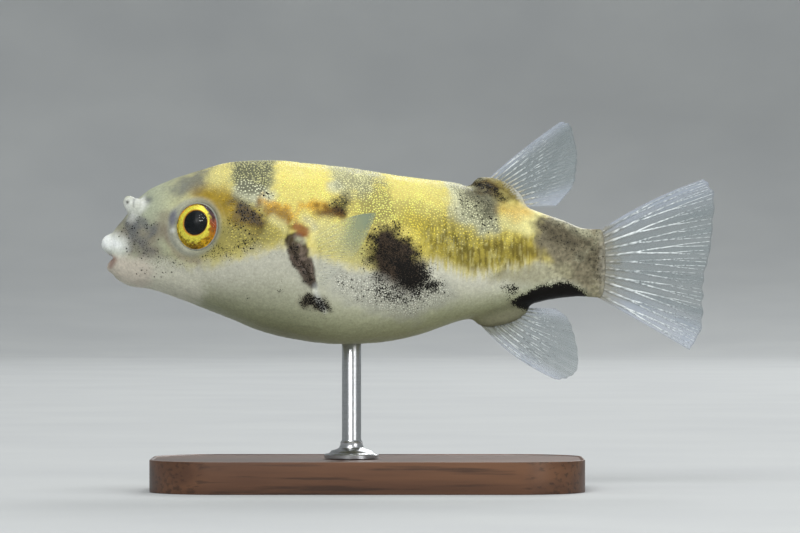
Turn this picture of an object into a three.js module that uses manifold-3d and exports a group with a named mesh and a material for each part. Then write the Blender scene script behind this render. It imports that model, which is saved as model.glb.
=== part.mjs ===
// A freshwater pufferfish (Colomesus asellus), life size, held by a display stand.
//
// Millimetres, +Z up. The fish swims towards -X with its left side towards -Y.
// The origin lies on the floor under the middle of the fish. The fish's own group has its
// level axis, from the mouth to the middle of the tail, at z = 0, and is raised by AXIS_HEIGHT.
// The body is one form wrapped round a sphere, parted by thin cuts into head, jaw, trunk and tail stalk.

import * as THREE from "three";
import { mergeVertices } from "three/addons/utils/BufferGeometryUtils.js";
import Module from "manifold-3d";

const wasm = await Module();
wasm.setup();

// ---- Driving dimensions ----

const AXIS_HEIGHT = 28.5; // the fish's axis above the floor
const GAP = 0.3; // clearance that parts one solid from the next
const FAR = 60; // beyond the fish in any direction
const MERGE_DISTANCE = 1e-4;
const SIDES = { left: -1, right: 1 };
const SIDEWAYS = new THREE.Vector3(0, 1, 0);

// The body's outlines as [x, value] along the fish, from the muzzle to the end of the tail stalk.
const BACK_LINE = [
  [-37.7, 3.2], [-36.0, 4.9], [-35.0, 6.1], [-33.8, 7.8], [-32.5, 8.95], [-30.0, 10.1],
  [-26.0, 11.5], [-22.5, 12.4], [-17.2, 12.7], [-11.0, 12.2], [-6.0, 11.6], [-1.0, 10.8],
  [4.0, 10.2], [7.5, 9.7], [11.6, 8.3], [15.0, 6.85], [19.0, 5.4], [22.8, 4.2], [24.9, 4.4],
];
const BELLY_LINE = [
  [-37.7, -1.2], [-36.5, -2.1], [-35.0, -2.95], [-32.2, -3.4], [-29.7, -4.2], [-26.0, -5.6],
  [-22.2, -7.1], [-18.4, -8.65], [-14.7, -9.6], [-6.6, -10.3], [-2.2, -9.9], [1.6, -9.1],
  [4.7, -8.0], [7.8, -7.1], [11.6, -6.25], [15.0, -5.45], [19.0, -4.55], [21.5, -4.35], [24.9, -4.7],
];
const HALF_WIDTH = [
  [-37.7, 2.4], [-36.0, 3.3], [-33.0, 4.7], [-30.0, 5.9], [-27.0, 7.0], [-22.2, 8.3], [-16.0, 9.1],
  [-9.7, 9.2], [-3.4, 8.5], [2.8, 7.0], [9.0, 5.1], [15.3, 3.6], [20.3, 2.5], [24.9, 1.6],
];
const WIDEST_HEIGHT = [
  [-37.7, 1.0], [-32.0, 2.4], [-27.0, 2.2], [-20.0, 0.8], [-10.0, -0.8], [-1.0, -0.8],
  [6.0, 0.0], [15.0, 0.4], [24.9, -0.2],
];
const NOSE_X = -37.7;
const STALK_END_X = 24.9;
const NOSE_ROUNDING = 1.5; // length over which the muzzle closes
const STALK_ROUNDING = 0.8; // length over which the tail stalk closes
const SQUARENESS = 2.25; // of the body's section: 2 is an ellipse, more is squarer
const BODY_SIDES = 24;
const BODY_STATIONS = 40;
const END_CROWDING = 0.6; // how much closer the stations stand at the body's ends, from 0 to 1

// Where the body is parted: each cut's x on the axis, and how far back it runs per millimetre down.
const GILL_CUT = { x: -13.6, lean: 0.35 };
const STALK_CUT = { x: 15.8, lean: 0 };
const MOUTH_CORNER = { x: -36.0, z: 0.45 };
const CHIN_END = { x: -31.6, z: -3.6 };

// Each fin's root and tip as [x, z] from its first ray to its last, and its thickness at the two.
const DORSAL_FIN = {
  root: [[9.4, 9.8], [12.3, 9.1], [14.2, 6.9]],
  tip: [
    [19.2, 17.6], [20.3, 17.2], [20.8, 15.5], [21.2, 13.6], [21.1, 11.6], [20.7, 9.6], [18.6, 7.0],
  ],
  thick: [0.9, 0.5],
};
const ANAL_FIN = {
  root: [[9.7, -7.2], [12.2, -6.7], [14.3, -5.7]],
  tip: [
    [18.6, -14.75], [20.0, -14.5], [21.1, -13.6], [21.3, -11.6], [20.8, -8.9], [20.0, -7.0],
    [18.5, -5.8],
  ],
  thick: [0.9, 0.5],
};
const TAIL_FIN = {
  root: [[23.9, 3.9], [24.3, 0.0], [23.6, -4.3]],
  tip: [
    [37.1, 10.3], [38.3, 7.9], [38.2, 4.6], [37.8, 1.3], [37.1, -1.8], [37.0, -4.9], [36.8, -8.3],
    [35.3, -11.0],
  ],
  thick: [1.1, 0.5],
};
const PECTORAL_FIN = {
  root: [[-11.7, 3.0], [-11.4, 0.2], [-11.0, -2.8]],
  tip: [
    [-3.8, 6.0], [-4.4, 4.2], [-5.3, 2.3], [-6.5, 0.7], [-7.9, -0.6], [-9.3, -1.8], [-10.2, -2.9],
  ],
  thick: [0.7, 0.5],
  rootX: -11.4,
  spread: 34, // degrees it stands off the flank
};
const FIN_REACH = 12; // a usual length of a ray, which turns a slot's clearance into a share of it

const UPPER_LIP = { x: -36.9, z: 2.3, thick: 1.45, tall: 1.3, span: 2.8, sweep: 2.0, drop: 1.1 };
const LOWER_LIP = { x: -36.6, z: -0.7, thick: 1.0, tall: 0.85, span: 2.5, sweep: 1.7, drop: -0.8 };
const EYE = {
  x: -26.35,
  z: 4.4,
  halves: [3.3, 2.35, 3.5],
  sink: 1.35, // how deep its middle lies under the skin
  forward: 20, // degrees it looks ahead of straight out
  upward: 6, // degrees it looks up
};

const BASE = { x: -5, length: 54, width: 30, height: 4, corner: 9, bevel: 0.6 };
const ROD = { x: -7, radius: 1.2, flange: 3.4, flangeHeight: 0.5, depth: 2.2, sides: 18 };

const COLOURS = {
  back: { color: 0xd9c95e, roughness: 0.45 },
  pale: { color: 0xdad9cf, roughness: 0.45 },
  stalk: { color: 0x8f8768, roughness: 0.45 },
  lobe: { color: 0x8c8452, roughness: 0.5 },
  fin: { color: 0xa9bdbc, roughness: 0.35 },
  eye: { color: 0xe5bd22, roughness: 0.15 },
  wood: { color: 0x4a2f1e, roughness: 0.4 },
  steel: { color: 0xb8babd, roughness: 0.3, metalness: 1 },
};

// ---- Curves and solids ----

// A smooth height along x through a few [x, value] points, with level or sloping ends as they fall.
function smoothLine(points) {
  const chord = (i) => (points[i + 1][1] - points[i][1]) / (points[i + 1][0] - points[i][0]);
  const last = points.length - 1;
  const slopes = points.map((point, i) => {
    if (i === 0) return chord(0);
    if (i === last) return chord(last - 1);
    const before = point[0] - points[i - 1][0];
    const after = points[i + 1][0] - point[0];
    return (chord(i - 1) * after + chord(i) * before) / (before + after);
  });
  return (x) => {
    const at = THREE.MathUtils.clamp(x, points[0][0], points[last][0]);
    let i = 0;
    while (i < last - 1 && at > points[i + 1][0]) i += 1;
    const span = points[i + 1][0] - points[i][0];
    const t = (at - points[i][0]) / span;
    const rise = points[i + 1][1] - points[i][1];
    const blend = t * t * (3 - 2 * t);
    const leave = t * (1 - t) * (1 - t) * slopes[i] * span;
    const arrive = t * t * (t - 1) * slopes[i + 1] * span;
    return points[i][1] + rise * blend + leave + arrive;
  };
}

// A three.js geometry as a solid, with its faces turned outwards.
function solidOf(geometry) {
  const bare = geometry.index ? geometry.toNonIndexed() : geometry;
  const merged = mergeVertices(
    new THREE.BufferGeometry().setAttribute("position", bare.getAttribute("position")),
    MERGE_DISTANCE,
  );
  const vertProperties = new Float32Array(merged.getAttribute("position").array);
  const corners = merged.index.array;
  const triVerts = [];
  for (let i = 0; i < corners.length; i += 3) {
    const [a, b, c] = corners.slice(i, i + 3);
    if (a !== b && b !== c && c !== a) triVerts.push(a, b, c);
  }
  const made = new wasm.Manifold(
    new wasm.Mesh({ numProp: 3, vertProperties, triVerts: new Uint32Array(triVerts) }),
  );
  if (made.volume() > 0) return made;
  for (let i = 0; i < triVerts.length; i += 3) {
    [triVerts[i + 1], triVerts[i + 2]] = [triVerts[i + 2], triVerts[i + 1]];
  }
  return new wasm.Manifold(
    new wasm.Mesh({ numProp: 3, vertProperties, triVerts: new Uint32Array(triVerts) }),
  );
}

// A primitive whose every vertex is moved to place(x, y, z), as a solid.
function shaped(primitive, place) {
  const position = primitive.getAttribute("position");
  for (let i = 0; i < position.count; i += 1) {
    const point = place(position.getX(i), position.getY(i), position.getZ(i));
    position.setXYZ(i, point.x, point.y, point.z);
  }
  return solidOf(primitive);
}

// An egg-shaped solid: its centre, its three half lengths, and its tilt in the side view in degrees.
function egg(centre, halves, tilt = 0, grow = 0, sides = 12, rings = 8) {
  const turn = new THREE.Matrix4().makeRotationY(THREE.MathUtils.degToRad(-tilt));
  const scale = new THREE.Matrix4().makeScale(...halves.map((half) => half + grow));
  const move = new THREE.Matrix4().makeTranslation(...centre);
  const place = move.multiply(turn).multiply(scale);
  return solidOf(new THREE.SphereGeometry(1, sides, rings).applyMatrix4(place));
}

const group = new THREE.Group();
const fish = new THREE.Group();
fish.position.z = AXIS_HEIGHT;
group.add(fish);

// Adds a solid to a group as a named mesh of one of the colours above.
function addNode(parent, name, solid, finish) {
  const { vertProperties, triVerts } = solid.getMesh();
  const geometry = new THREE.BufferGeometry()
    .setAttribute("position", new THREE.BufferAttribute(vertProperties, 3))
    .setIndex(new THREE.BufferAttribute(triVerts, 1));
  const mesh = new THREE.Mesh(geometry, new THREE.MeshStandardMaterial(COLOURS[finish]));
  mesh.name = name;
  parent.add(mesh);
}

// ---- The body's form ----

const backLine = smoothLine(BACK_LINE);
const bellyLine = smoothLine(BELLY_LINE);
const halfWidth = smoothLine(HALF_WIDTH);
const widestHeight = smoothLine(WIDEST_HEIGHT);

// How far a rounded end has opened at a distance from its tip, from 0 to 1.
function opened(distance, length) {
  const left = 1 - THREE.MathUtils.clamp(distance / length, 0, 1);
  return Math.sqrt(1 - left * left);
}

// The point of the skin at x along the body, in the direction (across, up) round its section.
function skinPoint(x, across, up) {
  const reach = Math.hypot(across, up) || 1;
  const bend = (part) => Math.sign(part) * Math.abs(part / reach) ** (2 / SQUARENESS);
  const size = opened(x - NOSE_X, NOSE_ROUNDING) * opened(STALK_END_X - x, STALK_ROUNDING);
  const middle = widestHeight(x);
  const tall = up > 0 ? backLine(x) - middle : middle - bellyLine(x);
  return new THREE.Vector3(
    x,
    size * halfWidth(x) * bend(across),
    middle + size * tall * bend(up),
  );
}

// Half the body's width at x and height z, for what is set on its side.
function sideAt(x, z) {
  const middle = widestHeight(x);
  const tall = z > middle ? backLine(x) - middle : middle - bellyLine(x);
  const level = Math.min(1, Math.abs(z - middle) / tall);
  return halfWidth(x) * (1 - level ** SQUARENESS) ** (1 / SQUARENESS);
}

// The sphere's pole at x = -1 becomes the nose and the one at x = 1 the end of the tail stalk.
const body = shaped(
  new THREE.SphereGeometry(1, BODY_SIDES, BODY_STATIONS).rotateZ(Math.PI / 2),
  (x, y, z) => {
    const even = 1 - Math.acos(THREE.MathUtils.clamp(x, -1, 1)) / Math.PI;
    const share = THREE.MathUtils.lerp(even, (1 + x) / 2, END_CROWDING);
    return skinPoint(THREE.MathUtils.lerp(NOSE_X, STALK_END_X, share), y, z);
  },
);

// ---- Fins ----

const curve = (points) =>
  new THREE.CatmullRomCurve3(points.map(([x, y, z]) => new THREE.Vector3(x, y, z)));

// A thin fin between a root curve and a tip curve, from its first ray to its last.
// It thins from root to tip, bow swells the edge along its first ray, and ripple moves it sideways.
function finSolid({ root, tip, normal, thick, bow, ripple, across = 10 }, grow = 0) {
  const box = new THREE.BoxGeometry(1, 1, 1, 4, 1, across);
  return shaped(box, (x, y, z) => {
    const out = THREE.MathUtils.lerp(-grow / FIN_REACH, 1, x + 0.5);
    const ray = THREE.MathUtils.clamp(0.5 - z, 0, 1);
    const start = root.getPoint(ray);
    const end = tip.getPoint(ray);
    const thickness = THREE.MathUtils.lerp(thick[0], thick[1], out) + 2 * grow;
    const push = y * thickness + ripple(out, ray);
    const swell = bow.clone().multiplyScalar(4 * out * (1 - out) * (1 - ray) ** 2);
    const point = start.lerp(end, out).add(swell).addScaledVector(normal, push);
    const outermost = Math.abs(z) === 0.5;
    return outermost ? point.addScaledVector(root.getTangent(ray), -2 * z * grow) : point;
  });
}

// A fin that stands on the fish's middle plane.
function middleFin({ root, tip, thick }, bow, ripple, across) {
  const curveOf = (points) => curve(points.map(([x, z]) => [x, 0, z]));
  return { root: curveOf(root), tip: curveOf(tip), normal: SIDEWAYS, thick, bow, ripple, across };
}

const dorsalFin = middleFin(
  DORSAL_FIN,
  new THREE.Vector3(-0.1, 0, 0.2),
  (out, ray) => 0.35 * out * Math.sin(5 * ray),
);
const analFin = middleFin(
  ANAL_FIN,
  new THREE.Vector3(-0.35, 0, -0.6),
  (out, ray) => -0.3 * out * Math.sin(4 * ray + 0.5),
);
const tailFin = middleFin(
  TAIL_FIN,
  new THREE.Vector3(-0.2, 0, 0.45),
  (out, ray) => 0.45 * out * Math.sin(9 * ray),
  18,
);

function pectoralFin(side) {
  const { root, tip, thick, rootX, spread } = PECTORAL_FIN;
  const angle = THREE.MathUtils.degToRad(spread);
  const rootY = sideAt(rootX, 0) - 0.2;
  const spreadY = (x) => side * (rootY + Math.tan(angle) * (x - rootX));
  return {
    root: curve(root.map(([x, z]) => [x, side * rootY, z])),
    tip: curve(tip.map(([x, z]) => [x, spreadY(x), z])),
    normal: new THREE.Vector3(-Math.sin(angle), side * Math.cos(angle), 0),
    thick,
    bow: new THREE.Vector3(0, 0, 0.5),
    ripple: (out, ray) => 0.25 * out * Math.sin(6 * ray),
  };
}

// ---- Fleshy fin roots, lips, nostrils and eyes ----

const dorsalLobe = (grow = 0) => egg([11.2, 0, 8.1], [3.9, 1.7, 2.2], -26, grow);
const analLobe = (grow = 0) => egg([11.5, 0, -6.9], [3.4, 1.3, 1.3], 12, grow);
const pectoralLobe = (side) =>
  egg([-11.9, side * (sideAt(-11.9, 0.2) - 0.5), 0.2], [1.3, 1.1, 3.5], -6);

// A lip: a sphere drawn out along an arc from one corner of the mouth round to the other.
function lip({ x, z, thick, tall, span, sweep, drop }, grow = 0) {
  return shaped(new THREE.SphereGeometry(1, 10, 12), (sx, sy, sz) => {
    const turn = (sy * Math.PI) / 2;
    const back = 1 - Math.cos(turn);
    return new THREE.Vector3(
      x + sweep * back + sx * (thick + grow),
      (span + grow) * Math.sin(turn),
      z - drop * back + sz * (tall + grow),
    );
  });
}

// A nostril: a low fleshy mound with a lobe that leans forward over the snout.
function nostril(side, grow = 0) {
  const mound = egg([-33.7, side * 2.7, 6.6], [1.4, 1.1, 1.4], 35, grow, 10, 6);
  const flap = egg([-34.7, side * 2.6, 7.2], [0.7, 0.75, 1.1], 20, grow, 10, 6);
  return mound.add(flap);
}

// An eye, set into the skin and turned to look along the head's slope.
function eye(side, grow = 0) {
  const ahead = THREE.MathUtils.degToRad(side * EYE.forward);
  const up = THREE.MathUtils.degToRad(side * EYE.upward);
  const turn = new THREE.Matrix4().makeRotationZ(ahead).multiply(new THREE.Matrix4().makeRotationX(up));
  const inward = new THREE.Vector3(0, -side * EYE.sink, 0).applyMatrix4(turn);
  const centre = new THREE.Vector3(EYE.x, side * sideAt(EYE.x, EYE.z), EYE.z).add(inward);
  const globe = new THREE.SphereGeometry(1, 16, 10).rotateX(Math.PI / 2);
  globe.scale(...EYE.halves.map((half) => half + grow));
  return solidOf(globe.applyMatrix4(turn).translate(centre.x, centre.y, centre.z));
}

const mouthHollow = egg([-37.4, 0, 0.55], [1.9, 2.3, 0.55]);

// ---- Cuts ----

// The region between two cuts across the body.
function between(front, back) {
  return shaped(new THREE.BoxGeometry(2, 2, 2), (x, y, z) => {
    const cut = x < 0 ? front : back;
    return new THREE.Vector3(cut.x - cut.lean * FAR * z, FAR * y, FAR * z);
  });
}

const moved = (cut, by) => ({ ...cut, x: cut.x + by });
const headSpace = between({ x: -FAR, lean: 0 }, moved(GILL_CUT, -GAP / 2));
const trunkSpace = between(moved(GILL_CUT, GAP / 2), moved(STALK_CUT, -GAP / 2));
const stalkSpace = between(moved(STALK_CUT, GAP / 2), { x: FAR, lean: 0 });

// The lower jaw lies in front of a line from the corner of the mouth down and back to the chin.
function jawSpace(grow = 0) {
  const reach = CHIN_END.x - MOUTH_CORNER.x;
  const slope = (CHIN_END.z - MOUTH_CORNER.z) / reach;
  return shaped(new THREE.BoxGeometry(2, 2, 2, 2), (x, y, z) => {
    const roof = MOUTH_CORNER.z + grow + slope * Math.max(0, x) * 2 * reach;
    return new THREE.Vector3(MOUTH_CORNER.x + 2 * reach * x, FAR * y, z < 0 ? -FAR : roof);
  });
}

// ---- Stand ----

const rodTop = AXIS_HEIGHT + bellyLine(ROD.x) + ROD.depth;

function standBase() {
  const { length, width, height, corner, bevel } = BASE;
  const halfLength = length / 2 - bevel;
  const halfDepth = width / 2 - bevel;
  const outline = new THREE.Shape();
  outline.moveTo(-halfLength + corner, -halfDepth);
  outline.lineTo(halfLength - corner, -halfDepth);
  outline.absarc(halfLength - corner, -halfDepth + corner, corner, -Math.PI / 2, 0);
  outline.absarc(halfLength - corner, halfDepth - corner, corner, 0, Math.PI / 2);
  outline.absarc(-halfLength + corner, halfDepth - corner, corner, Math.PI / 2, Math.PI);
  outline.absarc(-halfLength + corner, -halfDepth + corner, corner, Math.PI, 1.5 * Math.PI);
  const board = new THREE.ExtrudeGeometry(outline, {
    depth: height - 2 * bevel,
    bevelThickness: bevel,
    bevelSize: bevel,
    bevelSegments: 1,
    curveSegments: 5,
  });
  return solidOf(board.translate(BASE.x, 0, bevel));
}

function standRod(grow = 0) {
  const radius = ROD.radius + grow;
  const profile = [
    [0, BASE.height],
    [ROD.flange, BASE.height],
    [ROD.flange, BASE.height + ROD.flangeHeight],
    [ROD.flange - 0.6, BASE.height + ROD.flangeHeight + 0.4],
    [radius, BASE.height + ROD.flangeHeight + 0.8],
    [radius, rodTop + grow],
    [0, rodTop + grow],
  ].map(([r, z]) => new THREE.Vector2(r, z));
  const lathe = new THREE.LatheGeometry(profile, ROD.sides).rotateX(Math.PI / 2);
  return solidOf(lathe.translate(ROD.x, 0, 0));
}

// ---- The pieces ----

const rodSocket = standRod(GAP).translate([0, 0, -AXIS_HEIGHT]);
const faces = Object.values(SIDES);
const cutAway = (solid, cutters) => cutters.reduce((left, cutter) => left.subtract(cutter), solid);

const muzzle = body.intersect(headSpace);
const head = cutAway(muzzle, [
  jawSpace(GAP),
  mouthHollow,
  lip(UPPER_LIP, GAP),
  lip(LOWER_LIP, GAP),
  ...faces.flatMap((side) => [eye(side, GAP), nostril(side, GAP)]),
]);
const jaw = cutAway(muzzle.intersect(jawSpace()), [
  mouthHollow,
  lip(UPPER_LIP, GAP),
  lip(LOWER_LIP, GAP),
]);
const trunk = cutAway(
  faces.reduce((solid, side) => solid.add(pectoralLobe(side)), body).intersect(trunkSpace),
  [
    dorsalLobe(GAP),
    analLobe(GAP),
    finSolid(dorsalFin, GAP),
    finSolid(analFin, GAP),
    rodSocket,
    ...faces.map((side) => finSolid(pectoralFin(side), GAP)),
  ],
);
const tailStalk = cutAway(body.intersect(stalkSpace), [finSolid(tailFin, GAP)]);

addNode(fish, "head", head, "back");
addNode(fish, "lower_jaw", jaw, "pale");
addNode(fish, "upper_lip", lip(UPPER_LIP), "pale");
addNode(fish, "lower_lip", lip(LOWER_LIP), "pale");
addNode(fish, "trunk", trunk, "back");
addNode(fish, "tail_stalk", tailStalk, "stalk");
addNode(fish, "dorsal_lobe", dorsalLobe().subtract(finSolid(dorsalFin, GAP)), "lobe");
addNode(fish, "anal_lobe", analLobe().subtract(finSolid(analFin, GAP)), "lobe");
addNode(fish, "dorsal_fin", finSolid(dorsalFin), "fin");
addNode(fish, "anal_fin", finSolid(analFin), "fin");
addNode(fish, "tail_fin", finSolid(tailFin), "fin");
for (const [name, side] of Object.entries(SIDES)) {
  addNode(fish, `eye_${name}`, eye(side), "eye");
  addNode(fish, `nostril_${name}`, nostril(side), "pale");
  addNode(fish, `pectoral_fin_${name}`, finSolid(pectoralFin(side)), "fin");
}
addNode(group, "stand_base", standBase(), "wood");
addNode(group, "stand_rod", standRod(), "steel");

export default group;
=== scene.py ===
# A life-size freshwater pufferfish on a display stand, dressed over its solids.
#
# Lengths in the tables are millimetres in the fish's own frame: +X to the tail, +Z up, and z = 0 on
# the fish's level axis. world() turns them into the scene's metres.

import math

import bpy
import numpy as np
from mathutils import Matrix, Vector, noise
from mathutils.bvhtree import BVHTree

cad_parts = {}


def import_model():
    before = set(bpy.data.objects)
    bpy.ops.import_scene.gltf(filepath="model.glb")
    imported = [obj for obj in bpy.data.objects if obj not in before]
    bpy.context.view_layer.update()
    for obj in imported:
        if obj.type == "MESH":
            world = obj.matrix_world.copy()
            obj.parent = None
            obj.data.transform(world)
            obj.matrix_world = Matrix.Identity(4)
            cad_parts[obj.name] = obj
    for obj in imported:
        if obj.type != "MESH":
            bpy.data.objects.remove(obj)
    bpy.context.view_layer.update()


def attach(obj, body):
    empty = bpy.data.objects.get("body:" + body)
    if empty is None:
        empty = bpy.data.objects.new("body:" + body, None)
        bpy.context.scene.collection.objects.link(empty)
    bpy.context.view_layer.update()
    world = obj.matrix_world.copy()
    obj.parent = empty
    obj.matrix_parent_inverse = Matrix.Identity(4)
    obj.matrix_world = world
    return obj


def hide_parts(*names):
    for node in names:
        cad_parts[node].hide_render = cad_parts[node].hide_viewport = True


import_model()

MM = 0.001
AXIS_HEIGHT = 28.5  # the fish's axis above the floor
SIDES = {"left": -1, "right": 1}

# ---- The body's outlines: [x, value] from the muzzle to the end of the tail stalk ----

BACK_LINE = [
    [-37.7, 3.2], [-36.0, 4.9], [-35.0, 6.1], [-33.8, 7.8], [-32.5, 8.95], [-30.0, 10.1],
    [-26.0, 11.5], [-22.5, 12.4], [-17.2, 12.7], [-11.0, 12.2], [-6.0, 11.6], [-1.0, 10.8],
    [4.0, 10.2], [7.5, 9.7], [11.6, 8.3], [15.0, 6.85], [19.0, 5.4], [22.8, 4.2], [24.9, 4.4],
]
BELLY_LINE = [
    [-37.7, -1.2], [-36.5, -2.1], [-35.0, -2.95], [-32.2, -3.4], [-29.7, -4.2], [-26.0, -5.6],
    [-22.2, -7.1], [-18.4, -8.65], [-14.7, -9.6], [-6.6, -10.3], [-2.2, -9.9], [1.6, -9.1],
    [4.7, -8.0], [7.8, -7.1], [11.6, -6.25], [15.0, -5.45], [19.0, -4.55], [21.5, -4.35],
    [24.9, -4.7],
]
HALF_WIDTH = [
    [-37.7, 2.4], [-36.0, 3.3], [-33.0, 4.7], [-30.0, 5.9], [-27.0, 7.0], [-22.2, 8.3],
    [-16.0, 9.1], [-9.7, 9.2], [-3.4, 8.5], [2.8, 7.0], [9.0, 5.1], [15.3, 3.6], [20.3, 2.5],
    [24.9, 1.6],
]
WIDEST_HEIGHT = [
    [-37.7, 1.0], [-32.0, 2.4], [-27.0, 2.2], [-20.0, 0.8], [-10.0, -0.8], [-1.0, -0.8],
    [6.0, 0.0], [15.0, 0.4], [24.9, -0.2],
]
NOSE_X = -37.7
STALK_END_X = 24.9
NOSE_ROUNDING = 1.5  # length over which the muzzle closes
STALK_ROUNDING = 0.8  # length over which the tail stalk closes
TAIL_FAN_X = 14  # where on the axis the tail fin's rays spread from
SQUARENESS = 2.25  # of the body's section: 2 is an ellipse

SKIN_VOXEL = 0.2136  # keeps the skin under 200,000 triangles
COAT_DEPTH = 0.05  # the skin lies this far inside the solids, and the prickles fill it
DOT_CELLS = 0.5  # how far apart single black dots can stand
DOT_REACH = 0.27  # their size, as a share of that

# ---- Colours, as they are seen (sRGB) ----

LEMON = (216, 205, 128)
LEMON_PALE = (230, 222, 152)
GOLD = (220, 200, 74)
OLIVE = (102, 88, 34)
OLD_GOLD = (150, 134, 56)
OCHRE = (166, 138, 44)
CHEEK = (174, 162, 86)
ORANGE = (218, 168, 58)
RUST = (150, 82, 34)
BROWN = (108, 76, 32)
WHITE = (192, 191, 174)
# Painted shade: the belly's white as it looks in shade, low on the belly.
BELLY_SHADE = (147, 151, 117)
# Painted shade on the anal lobe, under the belly.
ANAL_LOBE_SHADE = (118, 116, 94)
LOBE_GOLD = (130, 114, 60)
LIP = (224, 228, 225)
PEBBLE = (228, 228, 216)
NOSTRIL = (206, 208, 202)
JAW = (196, 187, 172)
THROAT = (208, 206, 188)
MOUTH = (146, 120, 108)
SNOUT = (158, 163, 138)
# Also the painted shade along the fold under the eye.
SNOUT_GREY_AND_SHADE = (120, 110, 96)
SLATE = (92, 96, 100)
SADDLE = (170, 169, 124)
SADDLE_LIGHT = (212, 211, 164)
# Also a painted highlight on the pectoral fin's root.
SADDLE_PALE_AND_HIGHLIGHT = (210, 211, 178)
SADDLE_DARK = (72, 74, 58)
# Also the painted shade in the crease at the dorsal lobe's root.
BLOTCH_AND_CREASE_SHADE = (84, 68, 38)
BLOTCH_BROWN = (66, 54, 42)
ORBIT = (148, 150, 138)
STALK = (124, 117, 95)
# Also the painted shade under the dorsal lobe.
STALK_DARK_AND_SHADE = (80, 74, 58)
PALE_BAND = (156, 152, 122)
TAIL_ROOT = (140, 134, 114)
# Partly painted light, over the shading of the tail stalk's rounded end.
TAIL_RIM_TINT_AND_LIGHT = (160, 157, 144)
MAUVE = (66, 54, 44)
MAUVE_PALE = (134, 118, 106)
INK = (14, 12, 9)
WEB_DARK = (124, 136, 138)
WEB_PALE = (176, 185, 198)
SIDE_WEB = (134, 150, 132)
RAY_DARK = (168, 177, 179)
RAY_PALE = (236, 242, 242)
EYE_FRONT = (88, 90, 108)
IRIS_GOLD = (255, 240, 84)
PUPIL_EDGE = (196, 104, 10)
WALNUT = (84, 55, 37)
WALNUT_DARK = (62, 40, 27)
WALNUT_LIGHT = (106, 72, 48)
WALNUT_PORE = (38, 24, 16)
STEEL_DARK = (176, 178, 180)
STEEL_LIGHT = (214, 215, 216)
PAPER_DARK = (172, 175, 176)
PAPER_LIGHT = (178, 181, 181)


def linear(colour):
    """A seen colour as Blender's linear red, green and blue."""
    share = np.array(colour, float) / 255
    return np.where(share <= 0.04045, share / 12.92, ((share + 0.055) / 1.055) ** 2.4)


# ---- Curves ----


def smooth_line(points):
    """A smooth value along x through a few [x, value] points."""
    xs, values = np.array(points, float).T
    gap = np.diff(xs)
    chord = np.diff(values) / gap
    inner = (chord[:-1] * gap[1:] + chord[1:] * gap[:-1]) / (gap[:-1] + gap[1:])
    slopes = np.concatenate([chord[:1], inner, chord[-1:]])

    def value_at(x):
        x = np.clip(x, xs[0], xs[-1])
        i = np.clip(np.searchsorted(xs, x, side="right") - 1, 0, len(xs) - 2)
        t = (x - xs[i]) / gap[i]
        blend = values[i] + (values[i + 1] - values[i]) * t * t * (3 - 2 * t)
        leave = t * (1 - t) ** 2 * slopes[i] * gap[i]
        arrive = t * t * (t - 1) * slopes[i + 1] * gap[i]
        return blend + leave + arrive

    return value_at


def smooth_path(points):
    """A curve through a few points, as a function of a share from 0 to 1."""
    points = [np.array(p, float) for p in points]

    def point_at(share):
        place = (len(points) - 1) * min(max(share, 0.0), 1.0)
        i = min(int(place), len(points) - 2)
        t = place - i
        p1, p2 = points[i], points[i + 1]
        p0 = points[i - 1] if i > 0 else 2 * p1 - p2
        p3 = points[i + 2] if i + 2 < len(points) else 2 * p2 - p1
        d0, d1, d2 = (np.linalg.norm(b - a) ** 0.5 for a, b in ((p0, p1), (p1, p2), (p2, p3)))
        m1 = d1 * ((p1 - p0) / d0 - (p2 - p0) / (d0 + d1) + (p2 - p1) / d1)
        m2 = d1 * ((p2 - p1) / d1 - (p3 - p1) / (d1 + d2) + (p3 - p2) / d2)
        a = 2 * (p1 - p2) + m1 + m2
        b = -3 * (p1 - p2) - 2 * m1 - m2
        return ((a * t + b) * t + m1) * t + p1

    return point_at


def step(low, high, x):
    """0 below low, 1 above high, smooth between."""
    t = np.clip((x - low) / (high - low), 0, 1)
    return t * t * (3 - 2 * t)


back_line = smooth_line(BACK_LINE)
belly_line = smooth_line(BELLY_LINE)
half_width = smooth_line(HALF_WIDTH)
widest_height = smooth_line(WIDEST_HEIGHT)


def opened(distance, length):
    """How far a rounded end has opened at a distance from its tip."""
    left = 1 - np.clip(distance / length, 0, 1)
    return np.sqrt(1 - left * left)


def skin_points(x, across, up):
    """Points of the body's form at x, in the direction (across, up) round its section."""
    reach = np.hypot(across, up)
    reach = np.where(reach < 1e-9, 1, reach)
    power = 2 / SQUARENESS
    size = opened(x - NOSE_X, NOSE_ROUNDING) * opened(STALK_END_X - x, STALK_ROUNDING)
    middle = widest_height(x)
    tall = np.where(up > 0, back_line(x) - middle, middle - belly_line(x))
    y = size * half_width(x) * np.sign(across) * np.abs(across / reach) ** power
    z = middle + size * tall * np.sign(up) * np.abs(up / reach) ** power
    return np.stack([x, y, z], 1)


def side_at(x, z):
    """Half the body's width at x and height z."""
    middle = widest_height(x)
    tall = back_line(x) - middle if z > middle else middle - belly_line(x)
    level = min(1, abs(z - middle) / tall)
    return half_width(x) * (1 - level**SQUARENESS) ** (1 / SQUARENESS)


def world(points):
    """Fish millimetres as the scene's metres."""
    return (np.asarray(points, float) + [0, 0, AXIS_HEIGHT]) * MM


def fish(points):
    """The scene's metres as fish millimetres."""
    return np.asarray(points, float) / MM - [0, 0, AXIS_HEIGHT]


# ---- Pieces and their vertices ----


def deselect():
    """Leaves edit mode, with nothing selected."""
    if bpy.context.object and bpy.context.object.mode != "OBJECT":
        bpy.ops.object.mode_set(mode="OBJECT")
    bpy.ops.object.select_all(action="DESELECT")


def choose(piece):
    """Selects one piece alone and makes it active."""
    deselect()
    piece.select_set(True)
    bpy.context.view_layer.objects.active = piece


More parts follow.
